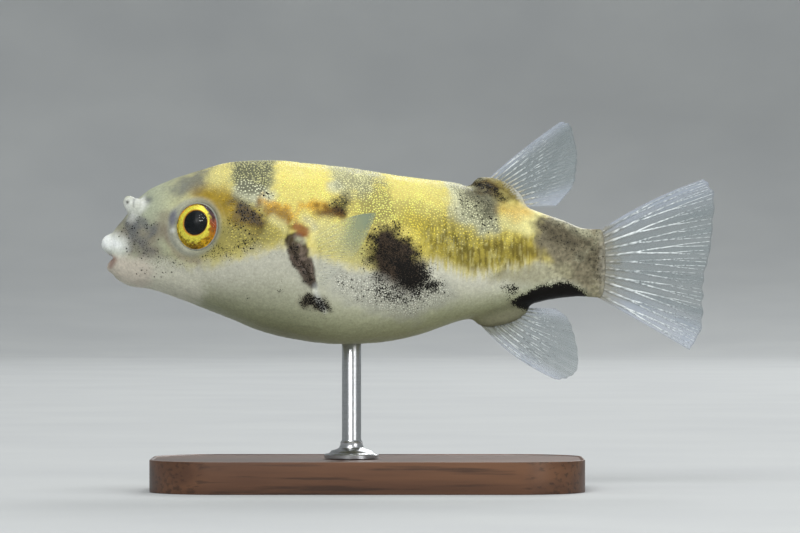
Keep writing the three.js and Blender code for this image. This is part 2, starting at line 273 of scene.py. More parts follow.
def named(name):
    """The active piece, under its new name."""
    piece = bpy.context.object
    piece.name = piece.data.name = name
    return piece


def places(piece):
    """A piece's points, one row each."""
    flat = np.empty(len(piece.data.vertices) * 3)
    piece.data.vertices.foreach_get("co", flat)
    return flat.reshape(-1, 3)


def normals(piece):
    flat = np.empty(len(piece.data.vertices) * 3)
    piece.data.vertices.foreach_get("normal", flat)
    return flat.reshape(-1, 3)


def move_to(piece, points):
    piece.data.vertices.foreach_set("co", np.asarray(points).ravel())
    piece.data.update()


def apply_modifier(piece, kind, **settings):
    """Shapes a piece with one modifier, for good."""
    choose(piece)
    modifier = piece.modifiers.new(kind.lower(), kind)
    for name, value in settings.items():
        setattr(modifier, name, value)
    bpy.ops.object.modifier_apply(modifier=modifier.name)


def join(name, pieces):
    choose(pieces[0])
    for piece in pieces[1:]:
        piece.select_set(True)
    bpy.ops.object.join()
    return named(name)


def smooth_shading(piece):
    choose(piece)
    bpy.ops.object.shade_smooth()


def wear(piece, material):
    """Gives a piece one material all over."""
    piece.data.materials.clear()
    piece.data.materials.append(material)


def store(piece, name, values):
    """Keeps one number or one colour for each vertex, for the materials to read."""
    values = np.asarray(values, np.float32)
    if values.ndim == 1:
        piece.data.attributes.new(name, "FLOAT", "POINT").data.foreach_set("value", values)
        return
    rgba = np.concatenate([values, np.ones((len(values), 1), np.float32)], 1)
    kept = piece.data.attributes.new(name, "FLOAT_COLOR", "POINT")
    kept.data.foreach_set("color", rgba.ravel())


def ball(name, sides, rings):
    """A unit sphere with its poles on Z."""
    deselect()
    bpy.ops.mesh.primitive_uv_sphere_add(segments=sides, ring_count=rings, radius=1)
    return named(name)


def egg(name, centre, halves, tilt):
    """An egg-shaped lump: centre, half lengths and tilt in the side view in degrees."""
    lump = ball(name, sides=32, rings=24)
    turn = np.array(Matrix.Rotation(math.radians(-tilt), 3, "Y"))
    move_to(lump, world((places(lump) * halves) @ turn.T + centre))
    return lump


def cloud(points, size, seed=0, layers=3):
    """Soft random values, about -1 to 1, that change over about size millimetres."""
    shift = Vector((seed * 17.3, seed * 5.1, seed * 9.7))
    return np.array(
        [noise.fractal(Vector(p) / size + shift, 1.0, 2.0, layers) for p in points.tolist()]
    )


def stroke(x, z, points):
    """How far inside a stroke through [x, z, radius] points each place lies, in millimetres."""
    depth = np.full(len(x), -99.0)
    for (x0, z0, r0), (x1, z1, r1) in zip(points, points[1:] or points):
        length = (x1 - x0) ** 2 + (z1 - z0) ** 2
        t = np.clip(((x - x0) * (x1 - x0) + (z - z0) * (z1 - z0)) / (length or 1), 0, 1)
        away = np.hypot(x - x0 - t * (x1 - x0), z - z0 - t * (z1 - z0))
        depth = np.maximum(depth, r0 + t * (r1 - r0) - away)
    return depth


# ---- The eyes' places ----

EYE_X, EYE_Z = -26.15, 4.4
EYE_HALVES = (3.3, 2.35, 3.5)  # half sizes ahead, outward and up
EYE_SINK = 1.35  # how deep its middle lies under the skin
EYE_FORWARD = math.radians(20)
EYE_UPWARD = math.radians(6)
BESIDE = 3.0  # how far out from the fish's middle plane its sides begin


def eye_frame(side):
    """The middle of an eye, and its axes: ahead, outward and up, as the columns of a matrix."""
    turn = Matrix.Rotation(side * EYE_FORWARD, 3, "Z") @ Matrix.Rotation(side * EYE_UPWARD, 3, "X")
    ahead = turn @ Vector((-1, 0, 0))
    outward = turn @ Vector((0, side, 0))
    up = turn @ Vector((0, 0, 1))
    surface = Vector((EYE_X, side * side_at(EYE_X, EYE_Z), EYE_Z))
    return np.array(surface - EYE_SINK * outward), np.array([ahead, outward, up]).T


def eye_plane(points):
    """How far ahead of and above the nearer eye's middle each place lies, in the eye's plane."""
    mirrored = points * np.array([1, -1, 1]) * np.where(points[:, 1:2] < 0, [[1, -1, 1]], 1)
    centre, axes = eye_frame(SIDES["left"])
    ahead, _, height = ((mirrored - centre) @ axes).T
    return ahead, height


def from_eye(ahead, height):
    """How far out from the eye's middle a place lies: 1 is the eye's rim."""
    return np.hypot(ahead / EYE_HALVES[0], height / EYE_HALVES[2])


# ---- Markings ----

# Where the white of the belly begins, as [x, z].
WHITE_LINE = [
    [-38.4, 1.5], [-35.3, 0.0], [-30.9, -0.1], [-22.2, 0.1], [-19.6, 1.0], [-16.9, 1.8],
    [-14.7, 2.0], [-11.2, 0.9], [-7.8, 0.0], [-5.2, -0.5], [-0.9, -0.8], [2.3, 0.0], [4.7, -0.2],
    [6.6, -1.2], [11.6, -1.2], [14.1, -0.8], [17.2, -0.2], [20.3, -1.2], [22.8, -2.5], [24.7, -3.5],
]

# Painted patches in the order they are laid on: colour, strength, softness, raggedness, and a
# stroke through [x, z, radius].
UNDER_PATCHES = [
    (LEMON_PALE, 0.5, 3.0, 1.0, [[-14, 12.5, 1.2], [4, 10.8, 1.2]]),
    (GOLD, 0.85, 3.6, 1.0, [[0.4, 4.8, 1.4], [4.0, 2.6, 2.8], [7.8, 1.2, 2.8], [15.9, 1.5, 2.3]]),
    (OLD_GOLD, 0.75, 2.6, 1.0, [[4.4, 1.6, 1.2], [9.0, 0.6, 1.6], [16.4, 1.4, 1.5]]),
    (CHEEK, 0.95, 3.0, 0.8, [[-23.4, 3.4, 2.8], [-19.7, 3.6, 2.6], [-16.8, 3.4, 1.8]]),
    (
        OCHRE, 1.0, 2.2, 0.5,
        [[-26.0, 8.7, 0.8], [-23.2, 7.6, 1.6], [-20.8, 6.4, 1.7], [-19.2, 5.4, 1.4]],
    ),
    (SNOUT_GREY_AND_SHADE, 0.75, 3.0, 0.9, [[-35.0, 3.8, 1.6], [-32.6, 2.9, 2.1], [-30.8, 3.6, 1.6]]),
    (SLATE, 0.7, 1.8, 1.1, [[-34.9, 4.4, 0.6], [-33.4, 2.8, 0.9], [-32.6, 1.6, 0.6]]),
    (SLATE, 0.65, 1.4, 1.0, [[-33.8, 5.4, 0.6], [-31.8, 4.2, 0.7]]),
    (SNOUT_GREY_AND_SHADE, 0.32, 2.4, 0.8, [[-32.6, 0.8, 1.4], [-29.6, 0.4, 1.2], [-26.4, 0.2, 0.9]]),
]
PATCHES = [
    (
        SLATE, 0.8, 2.4, 0.7,
        [[-28.9, 8.9, 0.8], [-27.6, 9.6, 1.2], [-26.3, 10.3, 1.1], [-25.8, 12, 1.2]],
    ),
    (
        SNOUT_GREY_AND_SHADE, 0.5, 1.2, 0.3,
        [[-30.2, 5.6, 0.9], [-29.6, 3.6, 0.8], [-28.6, 1.6, 0.6], [-26.0, 0.2, 0.4]],
    ),
    (SADDLE, 0.95, 1.6, 0.6, [[-19.2, 14.0, 2.8], [-19.2, 10.5, 2.7], [-19.3, 8.7, 2.0]]),
    (SADDLE_PALE_AND_HIGHLIGHT, 1.0, 1.4, 0.5, [[-20.3, 8.9, 1.1], [-18.6, 8.3, 1.2], [-17.0, 8.0, 0.8]]),
    (BLOTCH_AND_CREASE_SHADE, 0.95, 2.4, 1.0, [[-21.1, 7.2, 0.6], [-19.9, 5.9, 1.4], [-18.9, 5.1, 1.1]]),
    (ORANGE, 0.9, 1.4, 0.8, [[-17.7, 7.4, 0.55], [-16.3, 6.6, 0.85], [-14.3, 5.5, 0.5]]),
    (
        BROWN, 0.65, 1.0, 0.8,
        [[-18.5, 7.2, 0.5], [-16.8, 6.2, 0.25], [-15.6, 5.7, 0.4], [-14.6, 5.2, 0.3]],
    ),
    (SADDLE_LIGHT, 0.85, 2.2, 0.8, [[-7.2, 14.0, 3.6], [-6.6, 11.4, 3.2], [-6.2, 9.8, 1.6]]),
    (ORANGE, 0.9, 1.2, 0.7, [[-12.9, 7.1, 0.55], [-10.4, 6.5, 0.85]]),
    (BROWN, 1.0, 1.3, 0.8, [[-10.9, 6.1, 0.7], [-8.6, 6.1, 0.9]]),
    (BLOTCH_AND_CREASE_SHADE, 0.75, 1.6, 0.6, [[-8.3, 7.1, 1.1]]),
    (SADDLE_PALE_AND_HIGHLIGHT, 0.7, 1.0, 0.3, [[-9.0, 9.3, 0.9]]),
    (LEMON_PALE, 0.7, 1.0, 0.5, [[-16.6, 5.2, 0.4], [-14.8, 3.9, 0.5]]),
    (LEMON_PALE, 0.8, 2.2, 0.5, [[-10.2, 3.6, 1.8], [-8.4, 2.4, 2.0], [-6.8, 1.4, 1.6]]),
    (WHITE, 0.5, 1.0, 0.3, [[-12.6, 5.4, 0.5], [-11.6, 4.4, 0.5]]),
    (BLOTCH_BROWN, 1.0, 2.0, 0.8, [[-2.6, 2.3, 2.2], [-1.7, 0.3, 2.9], [-0.3, -1.8, 2.5]]),
    (
        MAUVE, 0.95, 0.45, 0.5,
        [[-13.9, 2.8, 1.1], [-13.3, 0.6, 1.35], [-12.3, -1.6, 0.95], [-11.8, -3.0, 0.5]],
    ),
    (BLOTCH_BROWN, 0.85, 1.4, 0.7, [[-12.1, -4.8, 0.8], [-10.7, -5.6, 0.8]]),
    (RUST, 0.9, 0.8, 0.6, [[-13.9, 4.3, 0.75], [-12.9, 3.8, 0.7]]),
    # A painted highlight on the pectoral fin's root.
    (SADDLE_PALE_AND_HIGHLIGHT, 0.7, 0.6, 0.2, [[-13.6, 2.9, 0.25], [-12.8, 2.6, 0.35]]),
    (LIP, 0.45, 0.8, 0.2, [[-11.5, -3.0, 0.25], [-11.0, -4.8, 0.25], [-10.2, -6.2, 0.2]]),
    (SADDLE_PALE_AND_HIGHLIGHT, 0.9, 1.8, 0.7, [[6.0, 10.4, 1.8], [8.2, 7.3, 2.9], [9.8, 5.2, 1.9]]),
    # Painted shade under the dorsal lobe.
    (STALK_DARK_AND_SHADE, 0.78, 2.0, 0.8, [[8.0, 8.6, 0.9], [10.4, 7.2, 1.5], [11.0, 5.8, 0.7]]),
    (LOBE_GOLD, 0.9, 1.0, 0.4, [[9.6, 10.6, 0.9], [12.0, 9.9, 1.1], [13.4, 8.4, 0.9]]),
    # Painted shade in the crease where the dorsal lobe meets the back.
    (BLOTCH_AND_CREASE_SHADE, 0.85, 1.2, 0.5, [[7.4, 10.2, 0.8], [9.6, 9.6, 1.0], [12.2, 7.9, 0.5]]),
    (SADDLE_PALE_AND_HIGHLIGHT, 0.5, 0.9, 0.5, [[8.2, 10.3, 0.2], [10.0, 10.9, 0.35], [11.6, 10.4, 0.3]]),
    (LIP, 0.7, 1.0, 0.3, [[13.4, 9.4, 0.2], [14.5, 7.9, 0.4], [14.9, 6.9, 0.3]]),
    (LEMON_PALE, 0.95, 1.2, 0.4, [[12.6, 5.2, 1.2], [15.1, 5.2, 1.9], [16.1, 5.9, 1.1]]),
    (ORANGE, 0.62, 2.2, 0.4, [[11.9, 6.5, 0.5], [13.4, 6.2, 0.8], [14.9, 6.3, 0.5]]),
    (OLIVE, 0.5, 1.6, 0.5, [[14.6, 1.8, 1.0], [17.0, 1.2, 0.9]]),
    (STALK, 1.0, 2.0, 0.5, [[19.0, 3.2, 3.2], [21.6, 1.2, 4.0], [25.4, 0.0, 5.4]]),
    (SADDLE_PALE_AND_HIGHLIGHT, 0.5, 1.2, 0.9, [[17.6, 6.0, 0.5], [20.0, 5.0, 0.7], [22.4, 3.4, 0.6]]),
    (SADDLE_PALE_AND_HIGHLIGHT, 0.25, 0.8, 1.2, [[21.5, 0.6, 0.4], [24.0, 3.0, 0.5]]),
    (
        STALK_DARK_AND_SHADE, 0.8, 2.0, 1.4,
        [[16.6, 4.9, 0.7], [18.3, 3.4, 1.5], [20.6, 2.5, 1.2], [22.6, 2.2, 0.8]],
    ),
    (PALE_BAND, 0.8, 1.4, 0.4, [[10.6, -1.9, 0.6], [15.9, -1.5, 1.2], [19.6, -1.3, 1.0]]),
    (STALK_DARK_AND_SHADE, 0.5, 2.4, 1.2, [[22.6, 0.4, 0.8], [24.0, 0.8, 0.9], [24.2, -1.6, 0.9]]),
    (PALE_BAND, 0.5, 1.6, 0.8, [[23.6, -3.4, 1.1], [25.0, -4.0, 1.0]]),
    # Painted shade over the anal lobe.
    (ANAL_LOBE_SHADE, 0.9, 2.4, 0.4, [[7.4, -8.6, 0.7], [11.2, -7.8, 1.8], [13.8, -6.8, 1.7]]),
    (THROAT, 0.75, 2.4, 0.5, [[-34.6, -2.0, 1.7], [-30.6, -2.6, 2.0], [-27.0, -3.4, 1.6]]),
    (JAW, 0.85, 1.6, 0.3, [[-36.9, -0.6, 1.3], [-33.4, -1.4, 1.8]]),
    (MOUTH, 0.9, 0.7, 0.1, [[-37.6, 0.6, 0.5], [-36.7, 0.3, 0.5], [-37.0, -0.5, 0.3]]),
    (LIP, 1.0, 2.2, 0.3, [[-38.1, 2.6, 1.5], [-36.0, 2.2, 0.9]]),
]
NOSTRIL_PATCHES = [
    (SLATE, 0.8, 1.2, 0.2, [[-32.3, 7.6, 0.6]]),
    (INK, 0.5, 0.7, 0.1, [[-32.3, 7.65, 0.25]]),
    (NOSTRIL, 0.9, 1.4, 0.4, [[-34.8, 7.2, 1.1], [-33.4, 7.0, 1.2], [-34.2, 5.8, 0.6]]),
    (SLATE, 0.7, 0.3, 0.0, [[-33.95, 8.2, 0.12], [-34.1, 6.9, 0.1]]),
    (INK, 0.9, 0.3, 0.0, [[-34.85, 7.45, 0.2]]),
]

# Where the tail's rays show through the end of the stalk.
TAIL_EDGE = [[25.2, 3.8, 1.0], [25.3, 0.0, 1.2], [24.2, -4.0, 2.1]]

# Where the low flank is pebbled with pale prickles.
PEBBLES = [[-7.8, -2.6, 1.8], [-5.4, -3.6, 2.2], [0.0, -5.4, 1.8], [4.4, -3.8, 1.4]]

# Black pigment in fine grains: how dense, how soft its edge, how ragged, stroke.
GRAINS = [
    (0.25, 2.2, 0.8, [[-34.7, 4.0, 1.0], [-32.9, 1.8, 1.2]]),
    (0.23, 1.8, 0.8, [[-33.6, 5.3, 0.7], [-31.8, 4.2, 0.8]]),
    (0.2, 2.4, 0.6, [[-31.5, 0.2, 1.6], [-27.5, 0.0, 1.2]]),
    (0.30, 1.8, 0.6, [[-24.4, 1.2, 1.0], [-20.5, 1.9, 1.2]]),
    (0.22, 1.6, 0.6, [[-22.0, 4.6, 1.3], [-19.5, 3.4, 1.3]]),
    (0.42, 2.2, 0.8, [[-20.6, 7.0, 0.8], [-19.4, 5.6, 1.4]]),
    (0.42, 1.2, 0.4, [[-17.2, 8.2, 0.6]]),
    (0.34, 1.8, 0.6, [[-8.3, 7.1, 1.1]]),
    (0.72, 3.4, 0.6, [[-1.4, 0.0, 1.3], [-0.3, -0.9, 2.0], [0.7, -2.1, 2.2]]),
    (0.44, 3.0, 0.8, [[-2.9, 2.3, 2.3], [-1.5, 0.5, 3.2], [0.2, -1.8, 2.9]]),
    (0.44, 2.4, 0.6, [[-3.6, 1.6, 1.5], [-3.0, -0.8, 1.8]]),
    (0.55, 2.0, 0.5, [[0.6, -2.4, 1.7], [3.4, -3.0, 1.2]]),
    (0.46, 2.2, 0.6, [[-3.3, -3.0, 1.5], [-0.8, -4.0, 1.3]]),
    (0.32, 2.4, 0.6, [[-5.0, -0.5, 1.0], [-4.6, 1.4, 1.0]]),
    (0.34, 2.2, 0.9, [[-2.8, 3.9, 1.3], [-0.6, 3.2, 1.1]]),
    (0.17, 2.4, 0.8, [[-7.4, -2.6, 1.8], [-5.0, -3.4, 2.0], [0.0, -5.0, 1.4], [4.4, -4.0, 1.0]]),
    (0.45, 1.2, 0.6, [[-14.0, 1.6, 0.6], [-13.4, -0.2, 0.8], [-12.3, -2.0, 0.6]]),
    (0.62, 2.0, 0.6, [[-12.1, -4.8, 0.8], [-10.6, -5.6, 0.9]]),
    (0.42, 0.7, 0.1, [[-15.7, -3.5, 0.4]]),
    (0.34, 0.7, 0.1, [[-19.7, -4.4, 0.4]]),
    (0.24, 2.2, 0.9, [[7.0, 7.4, 1.2], [9.4, 6.2, 1.7], [10.2, 4.6, 0.9]]),
    # Black grains along the dorsal lobe's crease: painted shade.
    (0.55, 1.2, 0.5, [[7.4, 10.2, 0.6], [9.6, 9.6, 0.8], [12.2, 7.8, 0.5]]),
    (0.24, 1.6, 0.6, [[8.6, 10.4, 1.0], [12.2, 9.4, 1.0]]),
    (0.22, 2.4, 1.0, [[18.0, 4.0, 2.2], [23.6, 1.0, 2.6]]),
    (0.3, 1.2, 0.5, [[24.2, 1.8, 0.9], [24.4, -2.5, 0.9]]),
    (1.0, 1.5, 0.4, [[14.2, -5.0, 0.8], [17.0, -4.5, 1.6], [19.2, -4.5, 2.05], [20.9, -4.6, 1.5]]),
    (0.48, 1.2, 0.4, [[11.8, -2.9, 0.6], [13.0, -3.6, 0.9]]),
]

# Saddles of dark net between pale prickles: how strong, how soft, how ragged, stroke.
NETS = [
    (0.92, 1.8, 0.5, [[-19.2, 14.0, 2.9], [-19.3, 10.6, 2.6], [-19.6, 9.6, 1.6]]),
    (0.4, 1.6, 0.6, [[-19.2, 8.8, 1.8], [-19.9, 7.6, 1.2]]),
    (0.62, 2.4, 0.6, [[-7.2, 14.0, 3.6], [-6.0, 10.4, 3.4]]),
    (0.72, 2.8, 0.8, [[-5.0, 9.4, 2.4], [-3.6, 6.4, 2.7]]),
    (0.85, 1.8, 0.6, [[-8.3, 7.0, 1.2]]),
    (0.62, 2.0, 0.7, [[6.4, 10.4, 1.6], [8.6, 7.3, 2.5], [10.2, 4.8, 1.5]]),
    (0.55, 3.0, 0.6, [[-9.0, 7.0, 1.5], [0.0, 6.0, 2.6], [8.0, 3.4, 2.4]]),
    (0.45, 2.4, 0.6, [[-24.0, 3.4, 1.6], [-18.0, 3.4, 1.8]]),
    (0.44, 2.8, 0.9, PEBBLES),
]

# Small single dots: how strong, how soft, how ragged, stroke.
DOTS = [
    (0.75, 1.6, 0.4, [[-34.6, 3.4, 1.4], [-33.0, 1.2, 1.7]]),
    (0.5, 1.6, 0.4, [[-33.0, 5.0, 1.0], [-31.8, 3.2, 1.2]]),
    (0.55, 1.8, 0.4, [[-33.2, -0.6, 1.1], [-30.0, -1.0, 1.2]]),
    (0.4, 1.6, 0.4, [[-31.2, 0.4, 1.1], [-25.0, 0.4, 1.0]]),
    (0.45, 1.6, 0.4, [[-8.2, -1.8, 1.4], [-5.2, -2.6, 1.8]]),
    (0.5, 1.2, 0.4, [[-9.8, -1.2, 0.6]]),
    (0.3, 2.0, 0.4, [[-24.0, 3.0, 1.2], [-19.0, 2.4, 1.2]]),
    (0.4, 2.0, 0.4, [[17.0, 5.4, 1.0], [24.0, 2.0, 2.4]]),
]

# Strokes of [x, z, radius] where one thing changes.
GOLD_ZONE = [[4.5, 2.8, 2.2], [8, 1.4, 2.6], [16.0, 1.4, 2.2]]
COMBED_EDGE = [[4.0, -0.4, 2.2], [13.5, -0.8, 2.2]]
PECTORAL_ROOT = [[-13.7, 2.6, 0.9], [-13.2, 0.4, 1.1], [-12.2, -2.0, 0.7]]

# How far the snout's colour has turned into the back's, along x.
SNOUT_TO_BACK = [[-38, 0.0], [-29.5, 0.12], [-25.5, 0.75], [-22.5, 1.0], [25, 1.0]]

# Rays that show through a fin's root: the fan's middle as (x, z), how closely they stand, how
# thin they are, softness, strength, colour, stroke.
RAYS_IN_SKIN = [
    ((10.4, 7.6), 62, 0.25, 0.5, 0.6, LIP, [[12.2, 10.2, 0.5], [14.2, 8.2, 0.6]]),
    ((TAIL_FAN_X, 0), 88, -0.2, 1.0, 0.45, TAIL_ROOT, TAIL_EDGE),
]

NOSTRIL_Y = 2.8  # how far out the marks on the nostrils lie
NOSTRIL_REACH = 1.1  # and how far they spread from there
STREAK_HEIGHT = 1.8  # how slowly upright streaks change along z
PATCHY_BELOW = 0.6  # grains sparser than this come in little clusters
DARKEST_NET = 0.95  # how much of the skin's colour the dark net hides


def bell(value, middle, width):
    """1 at the middle, and fading out on both sides over about two widths."""
    return np.exp(-(((value - middle) / width) ** 2))


def cover(x, z, ragged_edge, softness, raggedness, points):
    """0 to 1: how much of a patch shows at each place."""
    depth = stroke(x, z, points) + raggedness * ragged_edge
    return step(-softness / 2, softness / 2, depth)


def tinted(colour, amount, shade):
    """The colours, turned towards a shade by an amount for each place."""
    return colour + amount[:, None] * (linear(shade) - colour)


def painted(colour, patches, x, z, ragged_edge):
    """The colours after a list of patches is laid over them."""
    for shade, strength, softness, raggedness, points in patches:
        amount = strength * cover(x, z, ragged_edge, softness, raggedness, points)
        colour = tinted(colour, amount, shade)
    return colour


def strongest(marks, x, z, ragged_edge, least=0.0):
    """The strongest of a list of soft marks at each place."""
    most = np.zeros(len(x)) + least
    for strength, softness, raggedness, points in marks:
        amount = strength * cover(x, z, ragged_edge, softness, raggedness, points)
        most = np.maximum(most, amount)
    return most


def upright_noise(x, z, width, seed):
    """Random values in upright streaks: they change over the width along x, and slowly along z."""
    spots = [(a / width, b / STREAK_HEIGHT, 3.7 + seed) for a, b in zip(x, z)]
    return np.array([noise.fractal(Vector(spot), 1.0, 2.0, 2) for spot in spots])


def gilded(colour, x, z, broad, fine, upright):
    """The colours with the hind flank's upright olive streaks and yellow glints painted in as
    highlights.
    """
    zone = cover(x, z, broad, 3.6, 1.0, GOLD_ZONE)
    colour = tinted(colour, 0.78 * zone * step(-0.25, 0.4, upright), OLIVE)
    # Painted highlights: yellow glints among the streaks.
    painted_glints = step(0.14, 0.42, -upright_noise(x, z, 0.2, 2.0) - 0.35 * fine)
    return tinted(colour, 0.6 * zone * painted_glints, LEMON)


def white_with_painted_belly_shade(x, z, top_of_white):
    """White on the flank, with painted shade: dim along the belly, both darker towards the throat.
    """
    low = step(0.12, 0.95, (top_of_white - z) / (top_of_white - belly_line(x) + 0.1))[:, None]
    rear = step(-17.0, -6.0, x)[:, None]
    # Painted shade: the white darkens towards the head, and the shade colour takes over low on the
    # belly.
    flank = linear(WHITE) * (0.88 + 0.28 * rear)
    under = linear(BELLY_SHADE) * (0.86 + 0.44 * rear)
    return flank * (1 - low) + under * low


def fin_root_marks(colour, both_sides, ragged_edge):
    """The colours with pale blots at the pectoral fins' roots, and rays in the upright fins'."""
    x, _, z = both_sides.T
    root = cover(x, z, ragged_edge, 0.6, 0.3, PECTORAL_ROOT)
    blots = root * step(0.0, 0.35, cloud(both_sides, 0.7, 21, 3))
    colour = tinted(colour, 0.6 * blots, MAUVE_PALE)
    for (fan_x, fan_z), closeness, thinness, softness, strength, shade, points in RAYS_IN_SKIN:
        turn = np.arctan2(z - fan_z, x - fan_x)
        lines = step(thinness, 0.8, np.cos(turn * closeness))
        lines = lines * cover(x, z, ragged_edge, softness, 0.3, points)
        colour = tinted(colour, strength * lines, shade)
    return colour


def eye_marks(colour, points):
    """The colours with the pale orbit, a dark patch and a painted highlight before the eye, and
    painted shade in its fold.
    """
    ahead, height = eye_plane(points)
    beside = np.abs(points[:, 1]) > BESIDE
    orbit = step(1.18, 0.96, from_eye(ahead - 0.35, height)) * beside
    colour = tinted(colour, 0.8 * orbit, ORBIT)
    front = step(1.1, 0.3, np.hypot((ahead - 3.15) / 0.8, (height - 1.1) / 1.5)) * beside
    colour = tinted(colour, 0.75 * front, EYE_FRONT)
    # A painted highlight before the eye.
    painted_highlight = step(0.7, 0.1, np.hypot(ahead - 3.05, (height + 0.5) / 0.7)) * beside
    colour = tinted(colour, 0.35 * painted_highlight, LIP)
    # Painted shade along the fold under the eye.
    under_eye = step(0.5, -0.5, height) * step(-2.0, 1.0, ahead)
    painted_fold_shade = bell(from_eye(ahead, height), 1.24, 0.07) * under_eye
    return tinted(colour, 0.45 * painted_fold_shade, SNOUT_GREY_AND_SHADE)


def black_grains(both_sides, middling, fine):
    """How densely black pigment is strewn at each place."""
    x, _, z = both_sides.T
    ragged_edge = middling + 0.6 * fine
    patchy = 1 + 0.5 * cloud(both_sides, 0.8, 31, 2)
    sparse = strongest([g for g in GRAINS if g[0] < PATCHY_BELOW], x, z, ragged_edge)
    dense = strongest([g for g in GRAINS if g[0] >= PATCHY_BELOW], x, z, ragged_edge)
    return np.maximum(sparse * patchy, dense)


def markings(points):
    """At each place: the base colour, and how strong the black grains, the net and the dots are."""
    x, y, z = points.T
    both_sides = np.stack([x, np.abs(y), z], 1)
    broad = cloud(both_sides, 5.0, 1)
    middling = cloud(both_sides, 1.6, 2)
    fine = cloud(both_sides, 0.5, 3, 2)
    upright = upright_noise(x, z, 0.26, 0.0) + 0.5 * middling + 0.25 * fine

    tone = smooth_line(SNOUT_TO_BACK)(x)[:, None]
    colour = linear(SNOUT) * (1 - tone) + linear(LEMON) * tone
    colour = colour * (1 + 0.1 * broad[:, None])
    colour = painted(colour, UNDER_PATCHES, x, z, middling)
    colour = gilded(colour, x, z, broad, fine, upright)

    top_of_white = smooth_line(WHITE_LINE)(x)
    combed = upright * cover(x, z, 0, 3.0, 0, COMBED_EDGE)
    above = z - 0.7 * middling - 0.25 * fine + 1.1 * combed
    white = step(-1.2, 1.1, top_of_white - above)
    colour = colour + white[:, None] * (white_with_painted_belly_shade(x, z, top_of_white) - colour)

    colour = painted(colour, PATCHES, x, z, middling)
    on_nostril = np.exp(-(((np.abs(y) - NOSTRIL_Y) / NOSTRIL_REACH) ** 4))[:, None]
    colour = colour + on_nostril * (painted(colour, NOSTRIL_PATCHES, x, z, middling) - colour)
    colour = tinted(colour, 0.5 * cover(x, z, middling, 2.4, 0.7, PEBBLES), PEBBLE)
    colour = fin_root_marks(colour, both_sides, middling)
    # Paler towards the tail fin's roots: partly the roots' own pale tint, partly painted light over
    # the shading of the stalk's rounded end.
    tail_rim_and_painted_light = step(23.6, 24.7, x + 0.35 * fine)
    colour = tinted(colour, 0.55 * tail_rim_and_painted_light, TAIL_RIM_TINT_AND_LIGHT)
    colour = eye_marks(colour, points)
    on_lobe = step(7.5, 8.5, x) * step(6.0, 8.0, z)
    coarseness = 0.05 + 0.22 * step(15.0, 18.5, x) + 0.12 * on_lobe
    colour = colour * (1 + 2.2 * coarseness * cloud(both_sides, 0.42, 41, 2))[:, None]

    grain = black_grains(both_sides, middling, fine) * (1 - 0.7 * tail_rim_and_painted_light)
    everywhere = (0.18 + 0.14 * step(11.5, 8.5, z)) * (1 - white)
    bare = np.maximum(step(-24.5, -28.0, x), step(12.5, 16.0, x))
    net = strongest(NETS, x, z, middling, everywhere) * (1 - bare)
    dots = strongest(DOTS, x, z, middling)
    return np.clip(colour, 0, 1), grain, net, dots


# ---- The skin ----

END_CROWDING = 0.6  # how much closer the body's rings stand at its ends
STALK_THINNING = 0.7  # how far the tail stalk has narrowed where the tail fin leaves it

LIPS = {
    "upper_lip_form": dict(x=-36.9, z=2.3, thick=1.45, tall=1.3, span=2.8, sweep=2.0, drop=1.1),
    "lower_lip_form": dict(x=-36.6, z=-0.7, thick=1.0, tall=0.85, span=2.5, sweep=1.7, drop=-0.8),
}
PECTORAL_LOBE_X, PECTORAL_LOBE_Z = -11.9, 0.2


def body_form():
    """The body, from a sphere drawn out along the outlines."""
    form = ball("body_form", sides=128, rings=200)
    a, b, c = places(form).T
    even = 1 - np.arccos(np.clip(c, -1, 1)) / math.pi
    share = even + END_CROWDING * ((1 + c) / 2 - even)
    points = skin_points(NOSE_X + share * (STALK_END_X - NOSE_X), a, b)
    points[:, 1] *= 1 - STALK_THINNING * step(21.0, 25.0, points[:, 0])
    move_to(form, world(points))
    return form


def lip_form(name, x, z, thick, tall, span, sweep, drop):
    """A lip, from a sphere drawn out along an arc from one corner of the mouth to the other."""
    form = ball(name, sides=32, rings=48)
    a, b, c = places(form).T
    turn = c * math.pi / 2
    back = 1 - np.cos(turn)
    points = [x + sweep * back + b * thick, span * np.sin(turn), z - drop * back + a * tall]
    move_to(form, world(np.stack(points, 1)))
    return form


def skin_forms():
    """All the fleshy forms that grow into one skin."""
    forms = [body_form()]
    forms += [lip_form(name, **lip) for name, lip in LIPS.items()]
    forms.append(egg("dorsal_lobe_form", (11.2, 0, 8.1), (3.9, 1.7, 2.2), -26))
    forms.append(egg("anal_lobe_form", (11.75, 0, -6.65), (3.7, 1.15, 1.3), 15))
    root_y = side_at(PECTORAL_LOBE_X, PECTORAL_LOBE_Z) - 0.5
    for name, side in SIDES.items():
        root = (PECTORAL_LOBE_X, side * root_y, PECTORAL_LOBE_Z)
        forms.append(egg(f"nostril_mound_{name}", (-33.7, side * 2.7, 6.6), (1.4, 1.1, 1.4), 35))
        forms.append(egg(f"nostril_lobe_{name}", (-34.6, side * 2.6, 7.25), (0.85, 0.85, 1.1), 20))
        forms.append(egg(f"pectoral_root_{name}", root, (1.3, 1.1, 3.5), -6))
    return forms


GILL_SLIT = [[-14.5, 4.2, 0], [-14.8, 2.1, 0], [-13.7, 0.1, 0], [-12.2, -1.9, 0], [-11.6, -3.4, 0]]
DORSAL_FOLD = [[7.2, 9.9, 0], [9.5, 9.2, 0], [12.4, 7.6, 0]]
RIBBED_FLANK = [[3.0, 3.0, 1.6], [15.0, 1.5, 1.8]]

